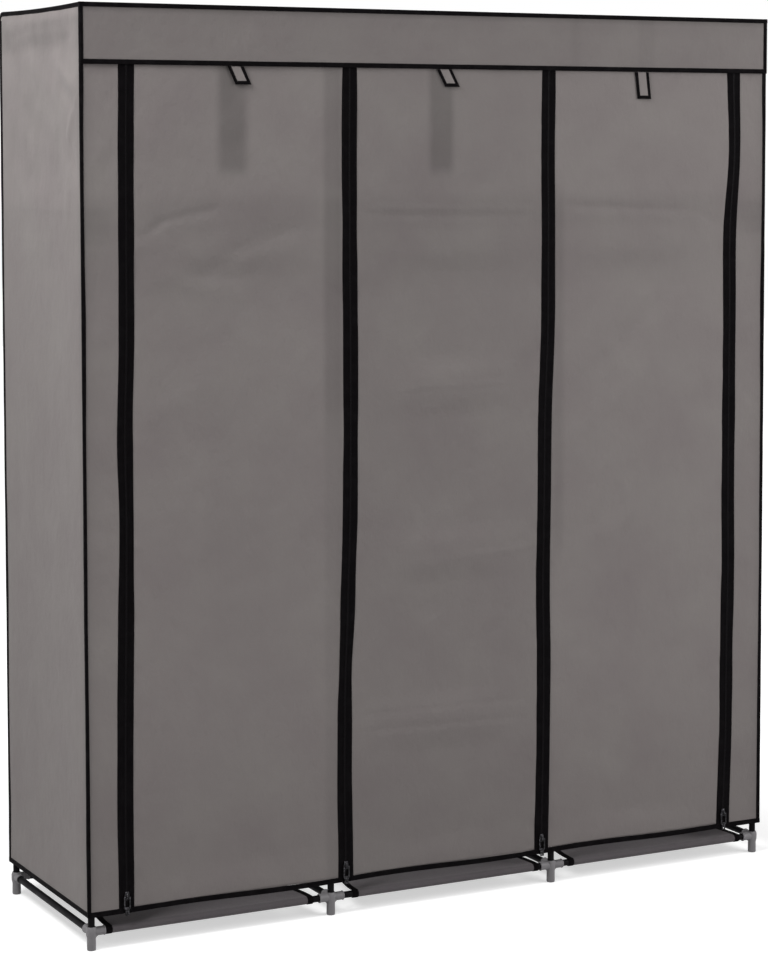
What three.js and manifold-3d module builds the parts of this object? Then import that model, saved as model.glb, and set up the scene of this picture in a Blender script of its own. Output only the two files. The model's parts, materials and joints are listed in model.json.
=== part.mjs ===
// Portable fabric wardrobe: a plug-together tube frame of three bays under a zipped cloth cover.
// Millimetres, +Z up, origin on the floor under the middle. X runs to the right, the doors face -Y.
// Tubes and sockets are regular prisms whose size across flats is the real diameter.

import * as THREE from "three";
import { mergeVertices } from "three/addons/utils/BufferGeometryUtils.js";
import Module from "manifold-3d";

const wasm = await Module();
wasm.setup();

// Overall
const WIDTH = 1500;
const DEPTH = 450;
const HEIGHT = 1750;
const GAP = 0.3; // between pieces that slide in, plug in or rest on each other
const OVERRUN = 4; // how far a cutter runs past the face that it opens

// Frame
const TUBE = 13;
const TUBE_WALL = 0.6;
const SOCKET = 17;
const SOCKET_REACH = 26; // from the post's axis to a socket's mouth
const SOCKET_STOP = 8.6; // from the post's axis to the floor of a socket
const SLEEVE = 28; // height of the collar round a post at each level
const COUPLER = 40; // plain sleeve that joins two lengths of an outer post
const COUPLER_Z = 700;
const MIDDLE_BAY = 494; // between the axes of the two inner posts
const SIDES = 8;

// Levels, all at the tubes' axes
const BASE_Z = 35;
const MIDDLE_SHELF_Z = 362;
const MIDDLE_SHELVES = 3;
const TOP_SHELF_DROP = 375; // from the very top
const ROD_DROP = 60; // from the top shelf
const UPPER_ROOM = 353; // from the highest middle shelf to the top shelf

// Foot connector
const FOOT_STOP = 12; // solid heel under the post
const FOOT_HUB = 20;
const FOOT_HUB_HALF = 6; // half height of the hub's widest band
const FOOT_FLARE = 5; // height over which the leg flares to the hub
const FOOT_BEVEL = 1.2;

// Cloth
const CLOTH = 1.2;
const BINDING_RISE = 1;
const BINDING_STEP = 0.6;
const CORNER_BINDING = 6;
const TOP_BINDING = 7;
const HEM_BINDING = 10;
const VALANCE_BINDING = 9;
const HEM_Z = 64;
const HEM_WAVE = 1.6;
const VALANCE_DROP = 112;
const VALANCE_LAP = 12; // how far the doors reach up behind the valance
const ZIP_ROOM = 3.7; // kept clear between the front cloth and the frame for the sliders
const HOLLOW = 5; // how far the cloth sinks in where no tube backs it
const BEARING_HALF = 12; // half height of the band in which a tube holds the cloth out
const BEARING_RAMP = 52;
const TOP_SAG = 4;

// Zips: four lines that lean alike
const OUTER_ZIP_INSETS = [89.5, 81]; // from the cover's left and right side to the zip's top
const INNER_ZIP_INSETS = [39.5, 16.5]; // from the inner post's axis, inwards, to the zip's top
const ZIP_TOP_Z = 1630;
const ZIP_DRIFT = 13; // sideways lean between the top and the hem
const ZIP_SLIT = 3; // between the two coils, where the slider's neck runs
const COIL = 2.4;
const COIL_RISE = 0.5; // how far a coil stands out of either face of its tape
const SLIDER_WIDTH = 10;
const SLIDER_TAIL = 7;
const SLIDER_HEIGHT = 16;
const SLIDER_Z = 97;
const SLIDER_PLATE = 1.3;
const SLIDER_LIP = 0.8;
const SLIDER_NECK = 4;
const BRIDGE_WIDTH = 2.4;
const BRIDGE_LENGTH = 9.6;
const BRIDGE_WALL = 1.4;
const PULL = 1.6; // thickness of the pull and of its axle bar
const PULL_WIDTH = 13;
const PULL_FRAME = 22;
const PULL_BAR = 2.6;
const PULL_TAIL = 13;
const PULL_TAIL_WIDTH = 8;
const PULL_EYE = 3;
const SWING_GAP = 0.5; // round the axle bar, so that its corners clear the bridge as it turns

// Tie loops outside and tie straps inside, left to right
const LOOP_OFFSETS = [49, -4.5, -47]; // from the middle of the bay
const LOOP_SHIFTS = [15.5, 17.5, 6]; // how far the lower end hangs to the right
const LOOP_LENGTHS = [34, 34, 54];
const LOOP_WIDTH = 32;
const LOOP_BINDING = 3.5;
const STRAP_LENGTH = 190;
const STRAP_WIDTH = 42;
const STRAP_HEM = 8;

// Shelves
const SHELF_END = 2; // from a socket's mouth to the cloth round the rail
const SHELF_BOW = 42; // how far a shelf's side edges curve inwards
const BOW_STEPS = 5;

// Hanging rod's tee
const TEE_HALF = 17;

// Derived planes and places
const BORE = TUBE + 2 * GAP;
const SIDE_INNER = WIDTH / 2 - BINDING_RISE - CLOTH;
const FACE_INNER = DEPTH / 2 - BINDING_RISE - CLOTH;
const TOP_INNER = HEIGHT - BINDING_RISE - CLOTH;
const POST_X = SIDE_INNER - GAP - SOCKET / 2;
const POST_Y = FACE_INNER - ZIP_ROOM + GAP + BINDING_RISE - SOCKET / 2;
const TOP_Z = TOP_INNER - GAP - SOCKET / 2;
const COLUMNS = [-POST_X, -MIDDLE_BAY / 2, MIDDLE_BAY / 2, POST_X];
const TOP_SHELF_Z = HEIGHT - TOP_SHELF_DROP;
const ROD_Z = TOP_SHELF_Z - ROD_DROP;
const MIDDLE_SHELF_PITCH = (TOP_SHELF_Z - UPPER_ROOM - MIDDLE_SHELF_Z) / (MIDDLE_SHELVES - 1);
const MIDDLE_LEVELS = Array.from({ length: MIDDLE_SHELVES }, (_, i) => MIDDLE_SHELF_Z + i * MIDDLE_SHELF_PITCH);
const VALANCE_INNER = FACE_INNER + CLOTH + BINDING_RISE + GAP;
const VALANCE_Z = HEIGHT - VALANCE_DROP;
const DOOR_TOP = VALANCE_Z + VALANCE_LAP;
const BAYS = ["left", "middle", "right"];
const ZIP_TOPS = [
  OUTER_ZIP_INSETS[0] - WIDTH / 2,
  COLUMNS[1] + INNER_ZIP_INSETS[0],
  COLUMNS[2] - INNER_ZIP_INSETS[1],
  WIDTH / 2 - OUTER_ZIP_INSETS[1],
];
const LOOP_TOPS = BAYS.map((_, bay) => (COLUMNS[bay] + COLUMNS[bay + 1]) / 2 + LOOP_OFFSETS[bay]);

const X = new THREE.Vector3(1, 0, 0);
const Y = new THREE.Vector3(0, 1, 0);
const Z = new THREE.Vector3(0, 0, 1);

// Materials
const finish = (color, roughness, metalness) => new THREE.MeshStandardMaterial({ color, roughness, metalness });
const clothGrey = finish(0x787271, 0.9, 0);
const shelfGrey = finish(0x504d4c, 0.92, 0);
const trimBlack = finish(0x120e10, 0.85, 0);
const tubeBlack = finish(0x17161a, 0.45, 0.3);
const socketGrey = finish(0x6b6a6c, 0.6, 0);
const sliderMetal = finish(0x55555a, 0.35, 0.9);

const wardrobe = new THREE.Group();

// Gives the group one named piece.
function addPiece(name, geometry, material, place = new THREE.Vector3()) {
  const piece = new THREE.Mesh(geometry, material);
  piece.name = name;
  piece.position.copy(place);
  wardrobe.add(piece);
}

// A closed geometry as a solid that can be joined and cut.
function solid(geometry) {
  const bare = geometry.index ? geometry.toNonIndexed() : geometry.clone();
  bare.deleteAttribute("normal");
  bare.deleteAttribute("uv");
  const merged = mergeVertices(bare);
  const vertProperties = merged.getAttribute("position").array;
  const triVerts = new Uint32Array(merged.index.array);
  return new wasm.Manifold(new wasm.Mesh({ numProp: 3, vertProperties, triVerts }));
}

// A solid back as a geometry with flat facets.
function geometryOf(shape) {
  const mesh = shape.getMesh();
  const geometry = new THREE.BufferGeometry();
  geometry.setAttribute("position", new THREE.BufferAttribute(new Float32Array(mesh.vertProperties), 3));
  geometry.setIndex(new THREE.BufferAttribute(new Uint32Array(mesh.triVerts), 1));
  const faceted = geometry.toNonIndexed();
  faceted.computeVertexNormals();
  return faceted;
}

const joined = (shapes) => shapes.reduce((whole, shape) => whole.add(shape));
const cut = (whole, cutters) => cutters.reduce((left, cutter) => left.subtract(cutter), whole);

// The corner radius of a regular prism from its size across flats.
const cornerRadius = (acrossFlats) => acrossFlats / 2 / Math.cos(Math.PI / SIDES);

// A prism along one of the row's axes, from one point to another.
function bar(from, to, acrossFlats) {
  const run = to.clone().sub(from);
  const radius = cornerRadius(acrossFlats);
  const prism = new THREE.CylinderGeometry(radius, radius, run.length(), SIDES, 1, false, Math.PI / SIDES);
  prism.applyQuaternion(new THREE.Quaternion().setFromUnitVectors(Y, run.normalize()));
  const middle = from.clone().add(to).divideScalar(2);
  return solid(prism.translate(middle.x, middle.y, middle.z));
}

const along = (from, direction, distance) => from.clone().addScaledVector(direction, distance);

// A tube that plugs into two facing sockets, open at both ends.
function railTube(from, to) {
  const direction = to.clone().sub(from).normalize();
  const start = along(from, direction, SOCKET_STOP + GAP);
  const end = along(to, direction, -SOCKET_STOP - GAP);
  const bore = bar(along(start, direction, -OVERRUN), along(end, direction, OVERRUN), TUBE - 2 * TUBE_WALL);
  return { outer: bar(start, end, TUBE), bore };
}

// A socket arm: its outside and the bore that a tube plugs into.
function socketArm(centre, direction) {
  return {
    outer: bar(centre, along(centre, direction, SOCKET_REACH), SOCKET),
    bore: bar(along(centre, direction, SOCKET_STOP), along(centre, direction, SOCKET_REACH + OVERRUN), BORE),
  };
}

// A depth tube held for good in the back socket, its front end ready to plug into the front one.
function depthTube(centre) {
  const end = new THREE.Vector3(centre.x, -POST_Y + SOCKET_STOP + GAP, centre.z);
  const inside = along(centre, Y, -SOCKET_STOP);
  return {
    outer: joined([bar(centre, along(centre, Y, -SOCKET_REACH), SOCKET), bar(centre, end, TUBE)]),
    bore: bar(inside, along(end, Y, -OVERRUN), TUBE - 2 * TUBE_WALL),
  };
}

// Which ways the rails leave a column: outer columns have one bay beside them, inner ones two.
function railWays(column, bays) {
  const ways = [];
  if (column > 0 && bays.includes(column - 1)) ways.push(X.clone().negate());
  if (column < COLUMNS.length - 1 && bays.includes(column)) ways.push(X.clone());
  return ways;
}

// The levels at which a column carries something, with the bays whose rails meet it there.
function levelsOf() {
  const every = BAYS.map((_, bay) => bay);
  return [
    ...MIDDLE_LEVELS.map((z) => ({ z, bays: [1], everyColumn: false })),
    { z: ROD_Z, bays: [], everyColumn: true },
    { z: TOP_SHELF_Z, bays: every, everyColumn: true },
    { z: TOP_Z, bays: every, everyColumn: true },
  ];
}

// The arms that leave a column at one height: rails sideways, and a socket or a tube across the depth.
function armsAt(centre, ways, row) {
  const acrossDepth = row === "front" ? socketArm(centre, Y) : depthTube(centre);
  return [...ways.map((way) => socketArm(centre, way)), acrossDepth];
}

// Foot: a leg with a solid heel and a flared hub, open at the top for the post.
function footConnector(column, row) {
  const legRadius = cornerRadius(SOCKET);
  const hubRadius = cornerRadius(FOOT_HUB);
  const bevelRadius = cornerRadius(SOCKET - 2 * FOOT_BEVEL);
  const hubLow = BASE_Z - FOOT_HUB_HALF;
  const hubHigh = BASE_Z + FOOT_HUB_HALF;
  const top = BASE_Z + SOCKET / 2 + FOOT_BEVEL;
  const profile = [
    [0, 0],
    [bevelRadius, 0],
    [legRadius, FOOT_BEVEL],
    [legRadius, hubLow - FOOT_FLARE],
    [hubRadius, hubLow],
    [hubRadius, hubHigh],
    [legRadius, top],
    [0, top],
  ].map(([r, z]) => new THREE.Vector2(r, z));
  const lathe = new THREE.LatheGeometry(profile, SIDES, Math.PI / SIDES);
  lathe.rotateX(Math.PI / 2).translate(COLUMNS[column], rowY(row), 0);
  const foot = solid(lathe);
  const centre = new THREE.Vector3(COLUMNS[column], rowY(row), BASE_Z);
  const arms = armsAt(centre, railWays(column, BAYS.map((_, bay) => bay)), row);
  const floorOfBore = new THREE.Vector3(centre.x, centre.y, FOOT_STOP);
  const mouth = new THREE.Vector3(centre.x, centre.y, top + OVERRUN);
  const whole = joined([foot, ...arms.map((arm) => arm.outer)]);
  return cut(whole, [bar(floorOfBore, mouth, BORE), ...arms.map((arm) => arm.bore)]);
}

// Post: one upright tube with the collars and arms of every level, and the closed hub at its top.
function post(column, row) {
  const inner = column === 1 || column === 2;
  const axis = (z) => new THREE.Vector3(COLUMNS[column], rowY(row), z);
  const outers = [bar(axis(FOOT_STOP + GAP), axis(TOP_Z), TUBE)];
  const bores = [bar(axis(FOOT_STOP - OVERRUN), axis(TOP_Z - SOCKET_STOP), TUBE - 2 * TUBE_WALL)];
  for (const { z, bays, everyColumn } of levelsOf()) {
    if (!inner && !everyColumn) continue;
    const collarTop = z === TOP_Z ? z + SOCKET / 2 : z + SLEEVE / 2;
    outers.push(bar(axis(z - SLEEVE / 2), axis(collarTop), SOCKET));
    for (const arm of armsAt(axis(z), railWays(column, bays), row)) {
      outers.push(arm.outer);
      bores.push(arm.bore);
    }
  }
  if (!inner) outers.push(bar(axis(COUPLER_Z - COUPLER / 2), axis(COUPLER_Z + COUPLER / 2), SOCKET));
  return cut(joined(outers), bores);
}

function rowY(row) {
  return row === "front" ? -POST_Y : POST_Y;
}

// Turns every face of a geometry round.
function flipFaces(geometry) {
  const flipped = geometry.clone();
  const index = flipped.index.array;
  for (let i = 0; i < index.length; i += 3) [index[i + 1], index[i + 2]] = [index[i + 2], index[i + 1]];
  return flipped;
}

// An outline drawn in the XY plane and given a height.
function plate(outline, height, curveSteps = 1) {
  return new THREE.ExtrudeGeometry(outline, { depth: height, bevelEnabled: false, curveSegments: curveSteps });
}

function polygon(points) {
  return new THREE.Shape(points.map(([x, y]) => new THREE.Vector2(x, y)));
}

// Shelf: cloth laid over two rails and sewn round each of them, with side edges that bow inwards.
function shelf(bay, z) {
  const left = COLUMNS[bay];
  const right = COLUMNS[bay + 1];
  const clothLeft = left + SOCKET_REACH + SHELF_END;
  const clothRight = right - SOCKET_REACH - SHELF_END;
  const outers = [];
  const bores = [];
  for (const y of [-POST_Y, POST_Y]) {
    const rail = railTube(new THREE.Vector3(left, y, z), new THREE.Vector3(right, y, z));
    const wrap = bar(new THREE.Vector3(clothLeft, y, z), new THREE.Vector3(clothRight, y, z), TUBE + 2 * CLOTH);
    outers.push(rail.outer, wrap);
    bores.push(rail.bore);
  }
  const outline = new THREE.Shape();
  outline.moveTo(clothLeft, -POST_Y);
  outline.lineTo(clothRight, -POST_Y);
  outline.quadraticCurveTo(clothRight - 2 * SHELF_BOW, 0, clothRight, POST_Y);
  outline.lineTo(clothLeft, POST_Y);
  outline.quadraticCurveTo(clothLeft + 2 * SHELF_BOW, 0, clothLeft, -POST_Y);
  const deck = solid(plate(outline, CLOTH, BOW_STEPS).translate(0, 0, z + TUBE / 2));
  return cut(joined([...outers, deck]), bores);
}

// Hanging rod: a tube at mid depth whose tees slide over the depth tubes of its two columns.
function hangingRod(bay) {
  const ends = [COLUMNS[bay], COLUMNS[bay + 1]].map((x) => new THREE.Vector3(x, 0, ROD_Z));
  const outers = [bar(ends[0], ends[1], TUBE)];
  const bores = [bar(ends[0], ends[1], TUBE - 2 * TUBE_WALL)];
  ends.forEach((end, i) => {
    const inward = i === 0 ? SOCKET_REACH : -SOCKET_REACH;
    outers.push(bar(along(end, Y, -TEE_HALF), along(end, Y, TEE_HALF), SOCKET));
    outers.push(bar(end, along(end, X, inward), SOCKET));
    bores.push(bar(along(end, Y, -TEE_HALF - OVERRUN), along(end, Y, TEE_HALF + OVERRUN), BORE));
  });
  return cut(joined(outers), bores);
}

// One line of a panel's grid: a share of the span plus an offset, and how far the cloth stands out there.
const line = (share, offset = 0, rise = 0, back = 0) => ({ share, offset, rise, back });

// A bound edge: the binding's two lines and the foot of its step down to the cloth.
function boundEdge(end, width) {
  const sign = end === 0 ? 1 : -1;
  const edge = [
    line(end, 0, BINDING_RISE),
    line(end, sign * width, BINDING_RISE),
    line(end, sign * (width + BINDING_STEP)),
  ];
  return end === 0 ? edge : edge.reverse();
}

// A zipped edge: the coil at the tape's edge and the foot of its step.
function zippedEdge(end) {
  const sign = end === 0 ? 1 : -1;
  const edge = [
    line(end, 0, COIL_RISE, COIL_RISE),
    line(end, sign * COIL, COIL_RISE, COIL_RISE),
    line(end, sign * (COIL + BINDING_STEP)),
  ];
  return end === 0 ? edge : edge.reverse();
}

// Even lines between the two edges of a panel.
function evenLines(count) {
  return Array.from({ length: count - 1 }, (_, i) => line((i + 1) / count));
}

// Lines at given heights, as offsets from the lower edge.
const linesAt = (heights, base) => heights.map((z) => line(0, z - base));

// A sewn panel as one closed slab. Each grid point is placed on the panel's inner and outer skins;
// place takes the position across, the position up and the distance out from the inner skin.
function panel({ across, up, spanAcross, spanUp, lift, place }) {
  const outer = [];
  const inner = [];
  for (const v of up) {
    for (const u of across) {
      const [bottom, top] = spanUp(u.share);
      const t = bottom + (top - bottom) * v.share + v.offset;
      const [left, right] = spanAcross(t);
      const s = left + (right - left) * u.share + u.offset;
      const out = lift(u.share, t);
      outer.push(place(s, t, out + CLOTH + Math.max(u.rise, v.rise)));
      inner.push(place(s, t, out - Math.max(u.back, v.back)));
    }
  }
  return closedSlab(outer, inner, across.length, up.length);
}

// Joins two skins of the same grid by a rim, and faces the result outwards.
function closedSlab(outer, inner, columns, rows) {
  const faces = [];
  const quad = (a, b, c, d) => faces.push(a, b, c, a, c, d);
  const behind = outer.length;
  for (let j = 0; j < rows - 1; j += 1) {
    for (let i = 0; i < columns - 1; i += 1) {
      const a = j * columns + i;
      quad(a, a + 1, a + columns + 1, a + columns);
      quad(behind + a, behind + a + columns, behind + a + columns + 1, behind + a + 1);
    }
  }
  const rim = [];
  for (let i = 0; i < columns - 1; i += 1) rim.push(i);
  for (let j = 0; j < rows - 1; j += 1) rim.push(j * columns + columns - 1);
  for (let i = columns - 1; i > 0; i -= 1) rim.push((rows - 1) * columns + i);
  for (let j = rows - 1; j > 0; j -= 1) rim.push(j * columns);
  rim.forEach((a, k) => {
    const b = rim[(k + 1) % rim.length];
    quad(a, behind + a, behind + b, b);
  });
  const geometry = new THREE.BufferGeometry().setFromPoints([...outer, ...inner]);
  geometry.setIndex(faces);
  const outward = signedVolume(geometry) > 0 ? geometry : flipFaces(geometry);
  outward.computeVertexNormals();
  return outward;
}

function signedVolume(geometry) {
  const position = geometry.getAttribute("position");
  const index = geometry.index.array;
  const [a, b, c] = [new THREE.Vector3(), new THREE.Vector3(), new THREE.Vector3()];
  let six = 0;
  for (let i = 0; i < index.length; i += 3) {
    a.fromBufferAttribute(position, index[i]);
    b.fromBufferAttribute(position, index[i + 1]);
    c.fromBufferAttribute(position, index[i + 2]);
    six += a.dot(b.cross(c));
  }
  return six / 6;
}

// Where tubes press on the cloth from behind, as bands of height. The doors hang straight above the rod's level.
const bandRound = (low, high = low) => [low - BEARING_HALF, high + BEARING_HALF];
const SIDE_BANDS = [bandRound(ROD_Z, TOP_SHELF_Z)];
const DOOR_HANG_Z = ROD_Z - BEARING_HALF;
const MIDDLE_BANDS = MIDDLE_LEVELS.map((z) => bandRound(z));

// The lift of the cloth: it sinks in between its edges, except in the bands and near its two ends.
function sinking(bands, low, high) {
  return (share, z) => {
    const reaches = [...bands, [low, low], [high, HEIGHT]].map(([a, b]) => Math.max(a - z, z - b, 0));
    const free = Math.min(1, Math.min(...reaches) / BEARING_RAMP);
    return -HOLLOW * Math.sin(Math.PI * share) ** 2 * free;
  };
}

// The heights at which the lift changes its slope.
function slopeHeights(bands, low, high) {
  const heights = bands.flatMap(([a, b]) => [a - BEARING_RAMP, a, b, b + BEARING_RAMP]);
  return [low + BEARING_RAMP, ...heights, high - BEARING_RAMP];
}

const flat = () => 0;
const frontPlace = (inner) => (s, t, out) => new THREE.Vector3(s, -inner - out, t);
const sidePlace = (sign) => (s, t, out) => new THREE.Vector3(sign * (SIDE_INNER + out), s, t);
const backPlace = (s, t, out) => new THREE.Vector3(s, FACE_INNER + out, t);
const topPlace = (s, t, out) => new THREE.Vector3(s, t, TOP_INNER + out);

// The hem's lower edge rises and falls a little.
const hemAt = (share) => HEM_Z + HEM_WAVE * Math.sin(2 * Math.PI * share);

const PANEL_TOP = TOP_INNER - GAP;
const PANEL_COLUMNS = 6;

// The x of a zip's line at a height.
const zipSlope = ZIP_DRIFT / (ZIP_TOP_Z - HEM_Z);
const zipX = (zip, z) => ZIP_TOPS[zip] - zipSlope * (ZIP_TOP_Z - z);

function coverSide(sign) {
  const low = HEM_Z + HEM_BINDING + BINDING_STEP;
  const high = PANEL_TOP - TOP_BINDING - BINDING_STEP;
  return panel({
    across: [...boundEdge(0, CORNER_BINDING), ...evenLines(PANEL_COLUMNS), ...boundEdge(1, CORNER_BINDING)],
    up: [...boundEdge(0, HEM_BINDING), ...linesAt(slopeHeights(SIDE_BANDS, low, high), HEM_Z),
      ...boundEdge(1, TOP_BINDING)],
    spanAcross: () => [-DEPTH / 2, DEPTH / 2],
    spanUp: () => [HEM_Z, PANEL_TOP],
    lift: sinking(SIDE_BANDS, low, high),
    place: sidePlace(sign),
  });
}

// The back hangs flat from the roof's seam.
function coverBack() {
  return panel({
    across: [...boundEdge(0, CORNER_BINDING), ...boundEdge(1, CORNER_BINDING)],
    up: [...boundEdge(0, HEM_BINDING), ...boundEdge(1, TOP_BINDING)],
    spanAcross: () => [-SIDE_INNER + GAP, SIDE_INNER - GAP],
    spanUp: () => [HEM_Z, PANEL_TOP],
    lift: flat,
    place: backPlace,
  });
}

// The roof sinks between the depth tubes of the four columns.
function coverTop() {
  const front = -VALANCE_INNER - CLOTH;
  const sag = (share, y) => {
    const x = (2 * share - 1) * (WIDTH / 2);
    const nearest = Math.min(...COLUMNS.map((column) => Math.abs(x - column)));
    const acrossFree = Math.min(1, Math.max(0, nearest - SOCKET_REACH) / BEARING_RAMP);
    const alongFree = Math.min(1, Math.max(0, POST_Y - SOCKET - Math.abs(y)) / BEARING_RAMP);
    return -TOP_SAG * acrossFree * alongFree;
  };
  const besideColumns = COLUMNS.flatMap((x) =>
    [-1, 1].flatMap((side) => [SOCKET_REACH + BEARING_RAMP, SOCKET_REACH].map((d) => x + side * d)),
  );
  const inside = besideColumns.filter((x) => Math.abs(x) < POST_X).sort((a, b) => a - b);
  const shares = inside.map((x) => (x / (WIDTH / 2) + 1) / 2);
  const reach = POST_Y - SOCKET;
  return panel({
    across: [...boundEdge(0, TOP_BINDING), ...shares.map((share) => line(share)), ...boundEdge(1, TOP_BINDING)],
    up: [...boundEdge(0, TOP_BINDING), ...linesAt([-reach, BEARING_RAMP - reach, reach - BEARING_RAMP, reach], front),
      ...boundEdge(1, TOP_BINDING)],
    spanAcross: () => [-WIDTH / 2, WIDTH / 2],
    spanUp: () => [front, DEPTH / 2],
    lift: sag,
    place: topPlace,
  });
}

function coverValance() {
  return panel({
    across: [...boundEdge(0, CORNER_BINDING), ...evenLines(PANEL_COLUMNS), ...boundEdge(1, CORNER_BINDING)],
    up: [...boundEdge(0, VALANCE_BINDING), ...boundEdge(1, TOP_BINDING)],
    spanAcross: () => [-SIDE_INNER + GAP, SIDE_INNER - GAP],
    spanUp: () => [VALANCE_Z, PANEL_TOP],
    lift: flat,
    place: frontPlace(VALANCE_INNER),
  });
}

// The narrow fixed strip between a corner and the first or last zip.
function coverFlange(sign) {
  const corner = SIDE_INNER - GAP;
  const leftSpan = (z) => [-corner, zipX(0, z) - ZIP_SLIT / 2];
  const rightSpan = (z) => [zipX(ZIP_TOPS.length - 1, z) + ZIP_SLIT / 2, corner];
  const across = sign < 0
    ? [...boundEdge(0, CORNER_BINDING), ...zippedEdge(1)]
    : [...zippedEdge(0), ...boundEdge(1, CORNER_BINDING)];
  return panel({
    across,
    up: [...boundEdge(0, HEM_BINDING), line(1)],
    spanAcross: sign < 0 ? leftSpan : rightSpan,
    spanUp: () => [HEM_Z, DOOR_TOP],
    lift: flat,
    place: frontPlace(FACE_INNER),
  });
}

const doorSpan = (bay) => (z) => [zipX(bay, z) + ZIP_SLIT / 2, zipX(bay + 1, z) - ZIP_SLIT / 2];

// Door: cloth between two zips, with a coil at either side; its hem is a piece of its own.
function door(bay) {
  const low = HEM_Z + HEM_BINDING + GAP;
  const bands = bay === 1 ? MIDDLE_BANDS : [];
  return panel({
    across: [...zippedEdge(0), ...evenLines(PANEL_COLUMNS), ...zippedEdge(1)],
    up: [line(0), ...linesAt([...slopeHeights(bands, low, DOOR_HANG_Z), DOOR_HANG_Z], low), line(1)],
    spanAcross: doorSpan(bay),
    spanUp: (share) => [hemAt(share) + HEM_BINDING + GAP, DOOR_TOP],
    lift: sinking(bands, low, DOOR_HANG_Z),
    place: frontPlace(FACE_INNER),
  });
}

// The stiff bound hem at a door's foot, clear of the sliders on both sides.
function doorHem(bay) {
  const inset = SLIDER_WIDTH / 2 + GAP;
  const span = (z) => [zipX(bay, z) + inset, zipX(bay + 1, z) - inset];
  return panel({
    across: [line(0, 0, BINDING_RISE), ...evenLines(PANEL_COLUMNS).map((u) => ({ ...u, rise: BINDING_RISE })),
      line(1, 0, BINDING_RISE)],
    up: [line(0), line(1)],
    spanAcross: span,
    spanUp: (share) => [hemAt(share), hemAt(share) + HEM_BINDING],
    lift: flat,
    place: frontPlace(FACE_INNER),
  });
}

// Layers of a slider, as distances out from the front cloth's inner skin
const TAPE_MIDDLE = CLOTH / 2;
const CHANNEL_HALF = CLOTH / 2 + COIL_RISE + GAP;
const PLATE_OUT = TAPE_MIDDLE + CHANNEL_HALF + SLIDER_PLATE;
const PIVOT_OUT = PLATE_OUT + SWING_GAP + PULL / 2;
const PIVOT_DROP = BRIDGE_LENGTH / 2 - BRIDGE_WALL - SWING_GAP - PULL / 2;

// Slider: its section carried along the zip, trimmed to a shield, with a neck and a bridge for the pull.
// Drawn with X across the zip and Z along it; the front of the slider faces -Y.
function zipSlider() {
  const half = SLIDER_WIDTH / 2;
  const lipRoom = CLOTH / 2 + GAP;
  const lipInner = half - SLIDER_LIP;
  const wing = (side) => polygon([
    [-half, side * lipRoom],
    [-half, side * (CHANNEL_HALF + SLIDER_PLATE)],
    [half, side * (CHANNEL_HALF + SLIDER_PLATE)],
    [half, side * lipRoom],
    [lipInner, side * lipRoom],
    [lipInner, side * CHANNEL_HALF],
    [-lipInner, side * CHANNEL_HALF],
    [-lipInner, side * lipRoom],
  ]);
  const start = -SLIDER_HEIGHT / 2;
  const wings = [1, -1].map((side) => solid(plate(wing(side), SLIDER_HEIGHT).translate(0, 0, start)));
  const shield = polygon([
    [-half, start],
    [half, start],
    [half, start + SLIDER_HEIGHT / 2],
    [SLIDER_TAIL / 2, -start],
    [-SLIDER_TAIL / 2, -start],
    [-half, start + SLIDER_HEIGHT / 2],
  ]);
  const shieldDepth = 2 * (CHANNEL_HALF + SLIDER_PLATE + OVERRUN);
  const trim = plate(shield, shieldDepth).rotateX(Math.PI / 2).translate(0, shieldDepth / 2, 0);
  const neckHalf = ZIP_SLIT / 2 - GAP;
  const neck = new THREE.BoxGeometry(2 * neckHalf, 2 * CHANNEL_HALF + SLIDER_PLATE, SLIDER_NECK);
  neck.translate(0, 0, start + SLIDER_NECK / 2);
  const foot = CHANNEL_HALF + SLIDER_PLATE / 2;
  const seat = CHANNEL_HALF + SLIDER_PLATE;
  const crown = seat + 2 * SWING_GAP + PULL;
  const bridge = polygon([
    [foot, -BRIDGE_LENGTH / 2],
    [crown + BRIDGE_WALL / 2, -BRIDGE_LENGTH / 2],
    [crown + BRIDGE_WALL, -BRIDGE_LENGTH / 2 + BRIDGE_WALL],
    [crown + BRIDGE_WALL, BRIDGE_LENGTH / 2 - BRIDGE_WALL],
    [crown + BRIDGE_WALL / 2, BRIDGE_LENGTH / 2],
    [foot, BRIDGE_LENGTH / 2],
    [foot, BRIDGE_LENGTH / 2 - BRIDGE_WALL],
    [crown, BRIDGE_LENGTH / 2 - BRIDGE_WALL],
    [crown, -BRIDGE_LENGTH / 2 + BRIDGE_WALL],
    [foot, -BRIDGE_LENGTH / 2 + BRIDGE_WALL],
  ]);
  const shaped = joined(wings).intersect(solid(trim));
  return joined([shaped, solid(neck), solid(archUpright(bridge))]);
}

// The bridge's profile is drawn as (out, up) and given its width across the zip.
function archUpright(profile) {
  const arch = plate(profile, BRIDGE_WIDTH).translate(0, 0, -BRIDGE_WIDTH / 2);
  return arch.applyMatrix4(new THREE.Matrix4().makeBasis(Y.clone().negate(), Z, X.clone().negate()));
}

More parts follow.
